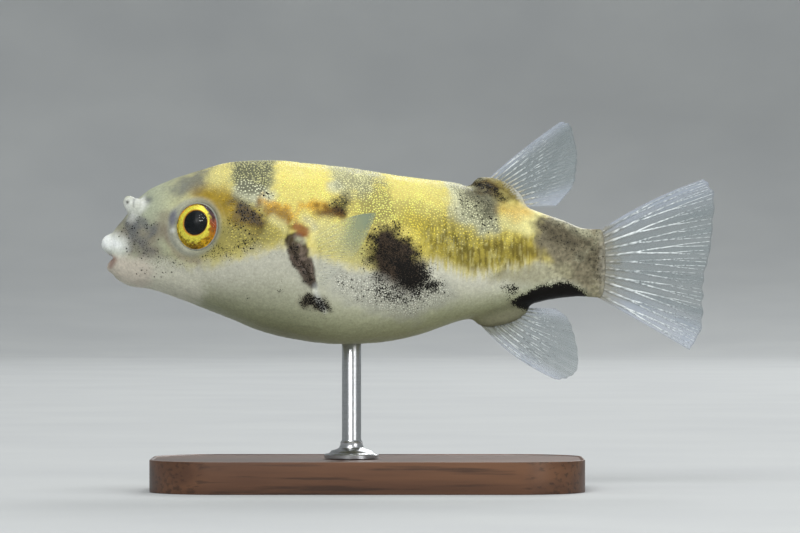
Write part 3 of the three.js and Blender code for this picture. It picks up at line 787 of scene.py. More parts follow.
# How far the skin's folds stand out or sink in, in millimetres.
MOUTH_DEPTH = 0.85
SOCKET_DEPTH = 1.1
EYELID_HEIGHT = 0.14
EYE_GROOVE_DEPTH = 0.07
GILL_SLIT_DEPTH = 0.5
GILL_FLAP_HEIGHT = 0.2
DORSAL_FOLD_DEPTH = 0.22
RIB_HEIGHT = 0.05
FINE_WRINKLES = 0.035
BROAD_WRINKLES = 0.05


def relief(points):
    """How far the skin stands out from its plain form at each place, in millimetres."""
    x, y, z = points.T
    mouth = bell(z, 0.45, 0.42) * step(2.7, 1.9, np.abs(y)) * step(-35.6, -36.6, x)
    out = -MOUTH_DEPTH * mouth

    ahead, height = eye_plane(points)
    ring = from_eye(ahead, height)
    eye = EYELID_HEIGHT * bell(ring, 0.95, 0.09) - EYE_GROOVE_DEPTH * bell(ring, 1.16, 0.08)
    eye -= SOCKET_DEPTH * step(0.84, 0.72, ring)
    out += eye * (np.abs(y) > BESIDE)

    slit = stroke(x, z, GILL_SLIT)
    slit_x, slit_z, _ = np.array(GILL_SLIT[::-1]).T
    flap = (x < np.interp(z, slit_z, slit_x)) * bell(slit, -0.55, 0.45)
    gill = GILL_FLAP_HEIGHT * flap - GILL_SLIT_DEPTH * bell(slit, 0, 0.24)
    out += gill * (np.abs(y) > 4)
    out -= DORSAL_FOLD_DEPTH * bell(stroke(x, z, DORSAL_FOLD), 0, 0.4)
    ribs = cover(x, z, 0, 3.0, 0, RIBBED_FLANK)
    out += RIB_HEIGHT * ribs * upright_noise(x, z, 0.4, 0.0)
    return out


# Where forms grow out of the body: how softly the smoothing fades out, stroke.
SEAMS = [
    (1.8, [[7.4, -7.8, 1.1], [11.0, -5.8, 1.3], [14.4, -5.2, 0.9]]),
    (1.2, [[6.8, 9.9, 0.9], [9.6, 7.8, 0.9], [14.6, 6.2, 0.8]]),
    (1.0, [[-35.4, 3.0, 0.7], [-35.0, -1.2, 0.6]]),
]
SEAM_SMOOTHING = 110


def blend_seams(skin):
    """Smooths the skin where the lips and the fins' fleshy roots grow out of the body."""
    x, _, z = fish(places(skin)).T
    weight = strongest([(1.0, 2 * softness, 0, points) for softness, points in SEAMS], x, z, 0)
    near = skin.vertex_groups.new(name="seams")
    for index in np.flatnonzero(weight > 0.02).tolist():
        near.add([index], float(weight[index]), "REPLACE")
    smoothing = dict(factor=0.5, iterations=SEAM_SMOOTHING, vertex_group=near.name)
    apply_modifier(skin, "SMOOTH", **smoothing)
    skin.vertex_groups.clear()


def make_skin():
    """One skin over all the flesh, with its folds, wrinkles and markings."""
    skin = join("skin", skin_forms())
    apply_modifier(skin, "REMESH", mode="VOXEL", voxel_size=SKIN_VOXEL * MM)
    apply_modifier(skin, "SMOOTH", factor=0.5, iterations=6)
    blend_seams(skin)
    points = places(skin)
    both_sides = fish(points)
    both_sides[:, 1] = np.abs(both_sides[:, 1])
    wrinkles = FINE_WRINKLES * cloud(both_sides, 1.1, 5, 2)
    wrinkles += BROAD_WRINKLES * cloud(both_sides, 4.0, 6, 2)
    raised = relief(fish(points)) + wrinkles - COAT_DEPTH
    move_to(skin, points + normals(skin) * raised[:, None] * MM)
    apply_modifier(skin, "SMOOTH", factor=0.5, iterations=1)
    smooth_shading(skin)

    colour, grain, net, dots = markings(fish(places(skin)))
    dark = np.minimum(linear(SADDLE_DARK), colour * 0.4)
    hidden = (DARKEST_NET * net)[:, None]
    store(skin, "pigment", colour * 0.95 * (1 - hidden) + hidden * dark)
    store(skin, "grain", grain)
    store(skin, "dots", dots)
    return skin


# ---- Prickles ----

PRICKLE_SPACING = 0.33  # on the flanks; on the nape it is wider
PRICKLE_RADIUS = 0.15
PRICKLE_HEIGHT = 0.08
PRICKLE_LEAN = 0.35  # how far its tip leans back, as a share of its radius
PRICKLE_SINK = 0.025  # how deep its foot lies in the skin
SMALLEST_PRICKLE = 0.25  # finer ones are left out
FIRST_ROW, LAST_ROW = -35.0, 24.5
BAKE_PATCH = 0.003  # how wide each prickle's patch is on the skin's unwrap

# Strokes of [x, z, radius] that stay free of prickles or carry finer ones.
PECTORAL_BARE = [[-13.4, 2.6, 1.4], [-12.2, -2.4, 1.3]]
DORSAL_FINE = [[9.2, 10.4, 1.2], [13.2, 8.2, 1.6]]
ANAL_BARE = [[9.2, -7.9, 1.0], [13.8, -6.4, 1.2]]


def on_nape(x):
    return step(-9.0, -15.0, x)


def on_back(z):
    return step(-2.0, 3.0, z)


def prickle_template():
    """One low prickle, closed, as its points and its faces."""
    deselect()
    bpy.ops.mesh.primitive_cone_add(vertices=5, radius1=1, depth=1)
    cone = named("prickle_template")
    points = places(cone) + [0, 0, 0.5]
    faces = [list(face.vertices) for face in cone.data.polygons]
    bpy.data.objects.remove(cone)
    return points, faces


def prickle_roots(random):
    """Evenly scattered places round the body: x and its section's angle, row by row."""
    rows = []
    x = FIRST_ROW
    while x < LAST_ROW:
        spacing = PRICKLE_SPACING * (1 + 0.16 * float(on_nape(x)))
        tall = (back_line(x) - belly_line(x)) / 2
        girth = 2 * math.pi * math.sqrt((tall**2 + half_width(x) ** 2) / 2)
        count = int(girth / spacing)
        place = np.arange(count) + random.uniform(0, 1) + random.uniform(-0.28, 0.28, count)
        along = x + random.uniform(-0.3, 0.3, count) * spacing
        rows.append(np.stack([along, place / count * 2 * math.pi], 1))
        x += spacing * 0.87
    roots = np.concatenate(rows)
    plane = np.stack([roots[:, 0], 8 * np.cos(roots[:, 1]), 8 * np.sin(roots[:, 1])], 1)
    roots[:, 0] += 0.55 * cloud(plane, 2.2, 51, 2)
    roots[:, 1] += 0.06 * cloud(plane, 2.2, 52, 2)
    return roots


def prickle_size(points):
    """How big the prickles grow: full on the back, finer below, none on face, stalk and roots."""
    x, _, z = points.T
    size = (0.5 + 0.5 * on_back(z)) * (1 + 0.14 * on_nape(x))
    size = np.maximum(size, 0.9 * cover(x, z, 0, 2.4, 0, PEBBLES))
    size *= step(-31.0, -22.5, x + 0.25 * (z - 8))
    size *= (0.55 + 0.45 * step(16.5, 12.0, x)) * step(24.6, 22.0, x)
    size *= step(1.1, 1.35, from_eye(*eye_plane(points)))
    size *= step(0.1, 0.9, -stroke(x, z, PECTORAL_BARE))
    size *= 0.6 + 0.4 * step(0.0, 0.8, -stroke(x, z, DORSAL_FINE))
    size *= step(0.0, 0.8, -stroke(x, z, ANAL_BARE))
    return size


def prickle_points(template, roots, outward, size):
    """Every prickle's points: the template stood on its root, leaning towards the tail."""
    backward = np.array([1.0, 0.0, 0.0]) - outward * outward[:, :1]
    backward /= np.linalg.norm(backward, axis=1)[:, None]
    across = np.cross(outward, backward)
    radius = (PRICKLE_RADIUS * size * MM)[:, None]
    height = (PRICKLE_HEIGHT * size * MM)[:, None]
    x, y, z = template.T
    return (
        roots[:, None]
        + (radius * x + PRICKLE_LEAN * radius * z)[..., None] * backward[:, None]
        + (radius * y)[..., None] * across[:, None]
        + (height * z - PRICKLE_SINK * MM)[..., None] * outward[:, None]
    )


def make_prickles(skin):
    """Coats each side in small leaning prickles, which carry the skin's markings."""
    random = np.random.default_rng(7)
    tree = BVHTree.FromObject(skin, bpy.context.evaluated_depsgraph_get())
    scattered = prickle_roots(random)
    x, angle = scattered.T
    near_skin = world(skin_points(x, np.cos(angle), np.sin(angle)))
    hits = [tree.find_nearest(Vector(point)) for point in near_skin]
    roots = np.array([hit[0] for hit in hits])
    outward = np.array([hit[1] for hit in hits])
    size = prickle_size(fish(roots))
    keep = size > SMALLEST_PRICKLE
    roots, outward, size, scattered = roots[keep], outward[keep], size[keep], scattered[keep]

    colour, grain, net, dots = markings(fish(roots))
    size = size * random.uniform(0.8, 1.15, len(size))
    varied = 1 + random.uniform(-0.06, 0.1, len(size)) * on_back(fish(roots)[:, 2])
    lift = 1.02 + 0.14 * net
    colour = np.clip(colour * (lift * varied)[:, None], 0, 0.85)
    chance = np.maximum(grain * 1.15 - 0.05, 0.35 * dots)
    inked = np.where(random.uniform(0, 1, len(size)) < chance, 1.0, 0.25 * grain)

    template, faces = prickle_template()
    points = prickle_points(template, roots, outward, size)
    unwrap = np.stack([(scattered[:, 0] + 37) / 63, scattered[:, 1] / (2 * math.pi)], 1)
    unwrap = unwrap * 0.96 + 0.02
    patches = unwrap[:, None] + BAKE_PATCH / 2 * template[:, :2]
    coats = []
    for name, side in SIDES.items():
        mine = roots[:, 1] * side > 0
        kept = (points[mine], faces, patches[mine], colour[mine], inked[mine])
        coats.append(joined_copies(f"prickles_{name}", *kept))
    return coats


def joined_copies(name, points, faces, patches, colour, inked):
    """One mesh of many copies of a small form."""
    copies, corners = points.shape[:2]
    mesh = bpy.data.meshes.new(name)
    all_faces = [[v + corners * i for v in face] for i in range(copies) for face in faces]
    mesh.from_pydata(points.reshape(-1, 3), [], all_faces)
    piece = bpy.data.objects.new(name, mesh)
    bpy.context.scene.collection.objects.link(piece)
    loops = np.empty(len(mesh.loops), np.int64)
    mesh.loops.foreach_get("vertex_index", loops)
    unwrapped = mesh.uv_layers.new(name="OFBake")
    unwrapped.data.foreach_set("uv", patches.reshape(-1, 2)[loops].ravel())
    store(piece, "pigment", np.repeat(colour, corners, 0))
    store(piece, "grain", np.repeat(inked, corners))
    smooth_shading(piece)
    return piece


# ---- Eyes ----

PUPIL_MIDDLE = (-0.04, 0.42)
PUPIL = (1.56, 1.56)
GOLD_MIDDLE = (0.28, 0.36)
GOLD_RING = (2.16, 2.42)
IRIS_MIDDLE = (0.0, 0.0)
IRIS = (2.68, 2.87)

# The eyeball's rings from its middle outwards: place on the way (the lens ends at 1, the bright
# gold at about 2, the iris at 2.85), middle, half sizes, their share, depth under the dome.
EYE_RINGS = [
    (0.0, PUPIL_MIDDLE, PUPIL, 0.0, 0.10),
    (0.5, PUPIL_MIDDLE, PUPIL, 0.5, 0.16),
    (0.93, PUPIL_MIDDLE, PUPIL, 0.93, 0.34),
    (1.0, PUPIL_MIDDLE, PUPIL, 1.0, 0.40),
    (1.06, PUPIL_MIDDLE, PUPIL, 1.03, 0.26),
    (1.9, GOLD_MIDDLE, GOLD_RING, 1.0, 0.36),
    (2.7, IRIS_MIDDLE, IRIS, 0.97, 0.34),
    (2.85, IRIS_MIDDLE, IRIS, 1.0, 0.10),
    (3.0, IRIS_MIDDLE, IRIS, 1.05, 0.03),
]
EYE_FRONT_SHARE = 0.62  # of the way from the front pole to the back one
EYE_BACK_DEPTH = 1.2  # how far the eyeball's back lies behind its middle

# The iris's outer ring: angle in degrees, from ahead and turning upwards, and its colour there.
IRIS_RING = [
    [0, 206, 184, 44], [60, 200, 136, 34], [95, 150, 76, 34], [125, 84, 74, 84],
    [155, 100, 70, 70], [182, 160, 80, 34], [210, 226, 160, 34], [240, 236, 186, 30],
    [268, 150, 112, 16], [300, 196, 160, 24], [335, 206, 180, 40], [360, 206, 184, 44],
]
LENS = np.array([0.002, 0.003, 0.003])  # linear: nearly black

CORNEA_THICKNESS = 0.07
CORNEA_WIDTH = 1.04 * 0.93  # as a share of the iris
CORNEA_STAND_OFF = 0.02


def round_eye(form, side):
    """For a sphere's points: the angle round the eye, and the share of the way to the back."""
    a, b, c = places(form).T
    return np.arctan2(b, a * -side), np.arccos(np.clip(c, -1, 1)) / math.pi


def eye_surface(ahead, height, depth):
    """How far out the eye's dome stands over its middle, less a depth."""
    share = (ahead / EYE_HALVES[0]) ** 2 + (height / EYE_HALVES[2]) ** 2
    return EYE_HALVES[1] * np.sqrt(np.clip(1 - share, 0, 1)) - depth


def place_in_eye(side, ahead, outward, height):
    centre, axes = eye_frame(side)
    return world(centre + np.stack([ahead, outward, height], 1) @ axes.T)


def make_eyeball(name, side):
    """The eyeball: black lens in the pupil, gold iris, grey rim, and a plain back in the head."""
    eyeball = ball(name, sides=96, rings=120)
    angle, polar = round_eye(eyeball, side)
    front = np.clip(polar / EYE_FRONT_SHARE, 0, 1) * EYE_RINGS[-1][0]
    rings = np.array([[at, *middle, *(share * np.array(halves)), depth]
                      for at, middle, halves, share, depth in EYE_RINGS])
    middle_x, middle_z, half_x, half_z, depth = (
        np.interp(front, rings[:, 0], rings[:, i]) for i in range(1, 6)
    )
    ahead = middle_x + half_x * np.cos(angle)
    height = middle_z + half_z * np.sin(angle)
    outward = eye_surface(ahead, height, depth)
    back = np.clip((polar - EYE_FRONT_SHARE) / (1 - EYE_FRONT_SHARE), 0, 1) * math.pi / 2
    ahead *= np.cos(back)
    height *= np.cos(back)
    outward -= (outward + EYE_BACK_DEPTH) * np.sin(back)
    move_to(eyeball, place_in_eye(side, ahead, outward, height))
    store(eyeball, "pigment", iris_colours(front, angle, ahead, height))
    store(eyeball, "shine", step(0.98, 1.05, front) * step(2.9, 2.6, front))
    smooth_shading(eyeball)
    return eyeball


def iris_colours(front, angle, ahead, height):
    """Black lens, bright gold ring, and a mottled one whose colour changes round the eye."""
    stops = np.array(IRIS_RING, float)
    turn = np.degrees(angle) % 360
    outer = linear(np.stack([np.interp(turn, stops[:, 0], stops[:, i]) for i in (1, 2, 3)], 1))
    spots = np.stack([ahead, height, np.zeros(len(ahead))], 1)
    mottle = cloud(spots, 0.32, 11, 3)
    outer *= 1 + 1.1 * mottle[:, None]
    dark_below = step(0.05, 0.35, mottle) * step(0.2, -0.6, np.sin(angle))
    outer *= 1 - 0.75 * dark_below[:, None]
    bright = linear(IRIS_GOLD) * (1 + 0.12 * cloud(spots, 0.2, 12, 2)[:, None])
    edge = step(1.7, 2.1, front + 0.5 * mottle)[:, None]
    colour = bright * (1 - edge) + outer * edge
    colour = tinted(colour, 0.8 * step(1.22, 1.06, front), PUPIL_EDGE)
    rim = step(2.68, 2.86, front)[:, None]
    colour += rim * (0.8 * linear(ORBIT) - colour)
    lens = step(1.03, 0.98, front)[:, None]
    colour += lens * (LENS - colour)
    return np.clip(colour, 0, 1)


def make_cornea(name, side):
    """The clear dome over the iris, a thin closed shell."""
    cornea = ball(name, sides=64, rings=64)
    angle, polar = round_eye(cornea, side)
    share = np.sin(polar * math.pi) * CORNEA_WIDTH
    ahead = share * IRIS[0] * np.cos(angle)
    height = share * IRIS[1] * np.sin(angle)
    outward = eye_surface(ahead, height, -CORNEA_STAND_OFF)
    outward += CORNEA_THICKNESS * np.cos(polar * math.pi)
    move_to(cornea, place_in_eye(side, ahead, outward, height))
    smooth_shading(cornea)
    return cornea


# ---- Fins ----

# For each fin, in millimetres and with rays counted from the first to the last:
#   root, tip    lines through the rays' feet and ends
#   normal       the direction that the fin faces
#   bow          how far the first ray is bent, at its middle
#   wave         how far the margin swings to the side, how often, and where it starts
#   rays, thick  how many, and how thick at root and tip
#   veil         how milky the web is at least and at most
#   scallop      how deep the margin is notched between rays
#   flesh        the colour of the fleshy root, and none on a clear fin
#   fleshy       how far out the flesh runs at the first and the last ray, as a share
#   rays_seen    how strong the rays are, and how much of that fades towards the margin
FINS = {
    "dorsal_fin": dict(
        root=[[9.4, 0, 9.8], [12.3, 0, 9.1], [14.2, 0, 6.9]],
        tip=[
            [19.2, 0, 17.6], [20.3, 0, 17.2], [20.8, 0, 15.5], [21.2, 0, 13.6], [21.1, 0, 11.6],
            [20.7, 0, 9.6], [18.6, 0, 7.0],
        ],
        normal=(0, 1, 0), bow=(-0.1, 0, 0.2), wave=(0.35, 5.0, 0.0), rays=11, thick=(0.26, 0.13),
        veil=(0.34, 0.66), scallop=0.012, flesh=(196, 188, 158), fleshy=(0.14, 0.28),
        rays_seen=(0.62, 0.7),
    ),
    "anal_fin": dict(
        root=[[8.8, 0, -7.5], [12.0, 0, -6.8], [14.3, 0, -5.7]],
        tip=[
            [18.6, 0, -14.75], [20.0, 0, -14.5], [21.1, 0, -13.6], [21.3, 0, -11.6],
            [20.8, 0, -8.9], [20.0, 0, -7.0], [18.5, 0, -5.8],
        ],
        normal=(0, 1, 0), bow=(-0.35, 0, -0.6), wave=(-0.3, 4.0, 0.5), rays=10,
        # Its fleshy root is dark grey-olive: painted shade, like the belly's.
        thick=(0.26, 0.13), veil=(0.32, 0.62), scallop=0.014, flesh=(120, 121, 100),
        fleshy=(0.6, 0.36), rays_seen=(0.72, 0.75),
    ),
    "tail_fin": dict(
        root=[[23.9, 0, 3.9], [24.3, 0, 0.0], [23.6, 0, -4.3]],
        tip=[
            [37.2, 0, 10.45], [38.35, 0, 8.7], [38.2, 0, 4.8], [37.8, 0, 1.3], [37.1, 0, -1.8],
            [37.0, 0, -4.9], [36.8, 0, -8.3], [35.3, 0, -11.0],
        ],
        normal=(0, 1, 0), bow=(-0.2, 0, 0.45), wave=(0.45, 9.0, 0.0), rays=11,
        thick=(0.38, 0.19), veil=(0.26, 0.85), scallop=0.018, flesh=(150, 147, 132),
        fleshy=(0.34, 0.52), rays_seen=(0.9, 0.3),
    ),
}

PECTORAL_SPREAD = math.radians(34)
PECTORAL_ROOT_X = -11.4
PECTORAL_FOOT = [[-11.7, 3.0], [-11.4, 0.2], [-11.0, -2.8]]
PECTORAL_TIP = [
    [-3.8, 6.0], [-4.4, 4.2], [-5.3, 2.3], [-6.5, 0.7], [-7.9, -0.6], [-9.3, -1.8],
    [-10.2, -2.9],
]

WEB_SINK = 0.04  # how far the web runs into the body, as a share of its reach
WEB_THICKNESS = 0.05
RAY_SINK = 0.03
FIRST_FORK, SECOND_FORK, RAY_END = 0.34, 0.68, 0.985  # as shares of the way out
FORK_LAP = 0.04  # how far a branch starts inside its stem
GIRTHS = (1.0, 0.72, 0.5)  # of a stem, its branches and their twigs
RAY_STEPS = 26
RAY_JOINTS = 26  # swellings along a ray
JOINT_SWELL = 0.16


def add_pectoral_fins():
    """The paired fins behind the gills, each turned out from its flank."""
    root_y = side_at(PECTORAL_ROOT_X, 0) - 0.2
    outward = math.tan(PECTORAL_SPREAD)
    for name, side in SIDES.items():
        FINS[f"pectoral_fin_{name}"] = dict(
            root=[[x, side * root_y, z] for x, z in PECTORAL_FOOT],
            tip=[
                [x, side * (root_y + outward * (x - PECTORAL_ROOT_X)), z]
                for x, z in PECTORAL_TIP
            ],
            normal=(-math.sin(PECTORAL_SPREAD), side * math.cos(PECTORAL_SPREAD), 0),
            bow=(0, 0, 0.8), wave=(0.25, 6.0, 0.0), rays=14, thick=(0.12, 0.1),
            veil=(0.03, 0.6), scallop=0.006, flesh=None, rays_seen=(0.12, 0.0),
        )


def fin_point(fin, out, ray):
    """A point of a fin's middle surface, out from the root and across the rays, both 0 to 1."""
    start, end = fin["root_path"](ray), fin["tip_path"](ray)
    height, turns, shift = fin["wave"]
    reach = out
    if out > 0:
        on_ray = 0.5 + 0.5 * math.cos(2 * math.pi * ray * fin["rays"])
        uneven = 0.6 + 0.4 * math.sin(9.7 * ray + 1)
        reach = out * (1 - fin["scallop"] * on_ray * uneven)
    point = start + (end - start) * reach
    point = point + np.array(fin["bow"]) * 4 * out * (1 - out) * (1 - ray) ** 2
    sideways = height * out * math.sin(turns * ray + shift)
    return point + np.array(fin["normal"]) * sideways


def fleshy_web(fin, points, out, ray):
    """The veil and colours of a fin that is milky by its rays and edges and fleshy at its root."""
    low, high = fin["veil"]
    first, last = fin["fleshy"]
    beside_ray = 0.5 + 0.5 * np.cos(2 * math.pi * (ray * fin["rays"] - 0.5))
    edges = np.maximum(step(0.26, 0.02, ray), step(0.72, 0.98, ray))
    milky = 0.5 + 0.7 * cloud(points * [0.4, 1, 1], 2.4, 71, 2)
    veil = (0.35 * beside_ray + 0.45 * edges) * milky + 0.3 * step(0.3, 0.0, out)
    ragged = 0.1 * (1 - beside_ray) + 0.08 * cloud(points, 0.8, 72, 2)
    flesh = step(first + (last - first) * ray, 0.02, out + ragged)
    colour = tinted(linear(WEB_DARK) * np.ones((len(out), 1)), edges, WEB_PALE)
    colour = tinted(colour, flesh, fin["flesh"])
    return np.maximum(low + (high - low) * veil, 0.9 * flesh), colour


def clear_web(fin, out, ray):
    """The veil and colours of a fin that shows only towards the margin of its first rays."""
    low, high = fin["veil"]
    shown = step(0.35, 0.8, out) * step(0.55, 0.1, ray) * (1 - 0.5 * step(0.88, 1.0, out))
    return low + (high - low) * shown, linear(SIDE_WEB) * np.ones((len(out), 1))


def fin_web(name, fin):
    """The clear web between the rays, a thin closed sheet."""
    deselect()
    across = 10 * fin["rays"]
    bpy.ops.mesh.primitive_grid_add(x_subdivisions=30, y_subdivisions=across, size=2)
    web = named(name)
    grid = places(web)
    out = (grid[:, 0] + 1) / 2 * (1 + WEB_SINK) - WEB_SINK
    ray = (grid[:, 1] + 1) / 2
    points = np.array([fin_point(fin, o, r) for o, r in zip(out, ray)])
    if fin["flesh"]:
        veil, colour = fleshy_web(fin, points, out, ray)
    else:
        veil, colour = clear_web(fin, out, ray)
    store(web, "veil", np.clip(veil, 0, 1))
    store(web, "pigment", colour)
    move_to(web, world(points))
    thickness = WEB_THICKNESS * MM
    apply_modifier(web, "SOLIDIFY", thickness=thickness, offset=0, use_even_offset=False)
    smooth_shading(web)
    return web


def ray_lines(fin):
    """Each ray's branches as lists of (out, ray): one stem that forks twice on its way out."""
    stem_girth, branch_girth, twig_girth = GIRTHS
    lines = []
    for i in range(fin["rays"]):
        middle = (i + 0.5) / fin["rays"]
        spread = 0.25 / fin["rays"]
        stem = [(-RAY_SINK, middle), (0.0, middle), (FIRST_FORK, middle)]
        lines.append((stem, stem_girth))
        for sign in (-1, 1):
            fork = middle + sign * spread
            bend = (0.42, middle + sign * spread * 0.55)
            branch = [(FIRST_FORK - FORK_LAP, middle), bend, (SECOND_FORK, fork)]
            lines.append((branch, branch_girth))
            for twig in (-1, 1):
                bend = (0.76, fork + twig * spread * 0.3)
                end = (RAY_END, fork + twig * spread * 0.5)
                lines.append(([(SECOND_FORK - FORK_LAP, fork), bend, end], twig_girth))
    return lines


def ray_tubes(name, fin):
    """The fin's jointed rays, as fine tubes through the web."""
    curve = bpy.data.curves.new(name, "CURVE")
    curve.dimensions = "3D"
    curve.bevel_depth = 1.0
    curve.bevel_resolution = 1
    curve.use_fill_caps = True
    root_radius, tip_radius = fin["thick"][0] / 2, fin["thick"][1] / 2
    for stops, girth in ray_lines(fin):
        path = smooth_path([[out, ray, 0] for out, ray in stops])
        spline = curve.splines.new("POLY")
        spline.points.add(RAY_STEPS - 1)
        for k, point in enumerate(spline.points):
            out, ray, _ = path(k / (RAY_STEPS - 1))
            joint = 1 + JOINT_SWELL * math.sin(2 * math.pi * out * RAY_JOINTS)
            radius = root_radius + (tip_radius - root_radius) * max(out, 0) ** 0.8
            point.co = (*world(fin_point(fin, out, ray)), 1)
            point.radius = radius * girth * joint * MM
    rays = bpy.data.objects.new(name, curve)
    bpy.context.scene.collection.objects.link(rays)
    choose(rays)
    bpy.ops.object.convert(target="MESH")
    return named(name)


def ray_light(name, points):
    """How pale the rays are at each place, 0 to 1: streaked along them, and finely broken up into
    dots of painted highlight.
    """
    x, _, z = points.T
    turn = np.arctan2(z, x - TAIL_FAN_X)
    fanned = np.stack([turn * TAIL_FAN_X, x * 0.12, 0 * x], 1)
    # The finer noise breaks the rays into dots of painted highlight.
    light = 0.45 + 0.8 * cloud(fanned, 1.0, 61, 2) + 1.1 * cloud(points, 0.3, 62, 2)
    if name.startswith("anal"):
        light += 0.3
    if name.startswith("tail"):
        light += 0.6 * step(-1.0, -4.0, z) * step(36.0, 26.0, x)
    return np.clip(light, 0, 1)


def fin_rays(name, fin):
    """The fin's rays, with their colours and how strongly each place shows."""
    rays = ray_tubes(name, fin)
    points = fish(places(rays))
    light = ray_light(name, points)
    colour = linear(RAY_DARK) * (1 - light[:, None]) + linear(RAY_PALE) * light[:, None]
    from_root, from_tip = (
        np.min([np.linalg.norm(points - fin[edge](k / 40), axis=1) for k in range(41)], 0)
        for edge in ("root_path", "tip_path")
    )
    if fin["flesh"]:
        colour = tinted(colour, 0.8 * step(2.8, 0.8, from_root), fin["flesh"])
    strength, fade = fin["rays_seen"]
    faded = 1 - fade * step(0.4, 0.85, from_root / (from_root + from_tip))
    store(rays, "pigment", colour)
    store(rays, "veil", strength * faded * (0.4 + 0.6 * light))
    smooth_shading(rays)
    return rays


# ---- Stand ----

BASE_X, BASE_LENGTH, BASE_WIDTH, BASE_HEIGHT, BASE_CORNER = -5, 54, 30, 4, 9
BASE_STEP_INSETS = (0.25, 0.15)  # the board's top edge has a step this far in
BASE_STEP_DEPTH = 0.12
BASE_ROUNDING = 0.32
ROD_X = -7
ROD_IN_BELLY = 2.2

# The rod's foot from the board upwards: radius, height over the board.
ROD_FOOT = [
    (3.4, 0), (3.4, 0.42), (3.28, 0.55), (2.9, 0.6), (2.75, 0.7), (2.5, 0.95), (1.9, 1.12),
    (1.55, 1.3), (1.4, 1.7), (1.42, 1.95), (1.3, 2.1), (1.2, 2.3),
]
ROD_RADIUS = 1.2
ROD_END = (1.05, 0.3)  # the chamfer at its top: radius, height


def select_faces(piece, wanted):
    """Selects the faces that wanted() picks, and nothing else."""
    choose(piece)
    bpy.ops.object.mode_set(mode="EDIT")
    bpy.ops.mesh.select_mode(type="FACE")
    bpy.ops.mesh.select_all(action="DESELECT")
    bpy.ops.object.mode_set(mode="OBJECT")
    for face in piece.data.polygons:
        face.select = bool(wanted(face))


def faces_up(face):
    return face.normal.z > 0.9


def make_base():
    """The wooden board: rounded corners, and a small step worked round its top edge."""
    deselect()
    bpy.ops.mesh.primitive_cube_add(size=1)
    base = named("stand_board")
    sizes = [BASE_LENGTH, BASE_WIDTH, BASE_HEIGHT]
    move_to(base, (places(base) * sizes + [BASE_X, 0, BASE_HEIGHT / 2]) * MM)
    choose(base)
    bpy.ops.object.mode_set(mode="EDIT")
    bpy.ops.mesh.select_all(action="DESELECT")
    bpy.ops.mesh.select_mode(type="EDGE")
    bpy.ops.object.mode_set(mode="OBJECT")
    for edge in base.data.edges:
        one, two = (base.data.vertices[v].co for v in edge.vertices)
        edge.select = abs(one.z - two.z) > 0.5 * BASE_HEIGHT * MM
    bpy.ops.object.mode_set(mode="EDIT")
    bpy.ops.mesh.bevel(offset=BASE_CORNER * MM, segments=14, affect="EDGES")
    bpy.ops.object.mode_set(mode="OBJECT")
    select_faces(base, faces_up)
    bpy.ops.object.mode_set(mode="EDIT")
    for inset in BASE_STEP_INSETS:
        bpy.ops.mesh.inset(thickness=inset * MM)
    bpy.ops.transform.translate(value=(0, 0, -BASE_STEP_DEPTH * MM))
    bpy.ops.object.mode_set(mode="OBJECT")
    rounding = dict(width=BASE_ROUNDING * MM, segments=4, limit_method="ANGLE", angle_limit=0.6)
    apply_modifier(base, "BEVEL", **rounding)
    choose(base)
    bpy.ops.object.shade_smooth_by_angle(angle=0.5)
    return base


def make_rod():
    """The steel rod with its turned foot, each ring of it drawn up from the one below."""
    top = AXIS_HEIGHT + float(belly_line(ROD_X)) + ROD_IN_BELLY
    end_radius, end_height = ROD_END
    profile = [(radius, BASE_HEIGHT + height) for radius, height in ROD_FOOT]
    profile += [(ROD_RADIUS, top - end_height), (end_radius, top)]
    deselect()
    bpy.ops.mesh.primitive_cylinder_add(vertices=48, radius=1, depth=1, end_fill_type="NGON")
    rod = named("stand_post")
    select_faces(rod, faces_up)
    bpy.ops.object.mode_set(mode="EDIT")
    for _ in profile[2:]:
        bpy.ops.mesh.extrude_region_move(TRANSFORM_OT_translate={"value": (0, 0, 1)})
    bpy.ops.object.mode_set(mode="OBJECT")
    points = places(rod)
    level = np.clip(np.round(points[:, 2] + 0.5).astype(int), 0, len(profile) - 1)
    radii, heights = np.array(profile)[level].T
    around = points[:, :2] / np.linalg.norm(points[:, :2], axis=1)[:, None]
    shaped = np.column_stack([around * radii[:, None], heights])
    move_to(rod, (shaped + [ROD_X, 0, 0]) * MM)
    choose(rod)
    bpy.ops.object.shade_smooth_by_angle(angle=0.6)
    return rod


# ---- Materials ----

WALNUT_GRAIN = (0.05, 1.0, 1.0)  # it runs along the board
WALNUT_BAND = 1 / 0.26  # how wide its bands of colour are
WALNUT_THREAD = 1 / 1.9  # and its pores


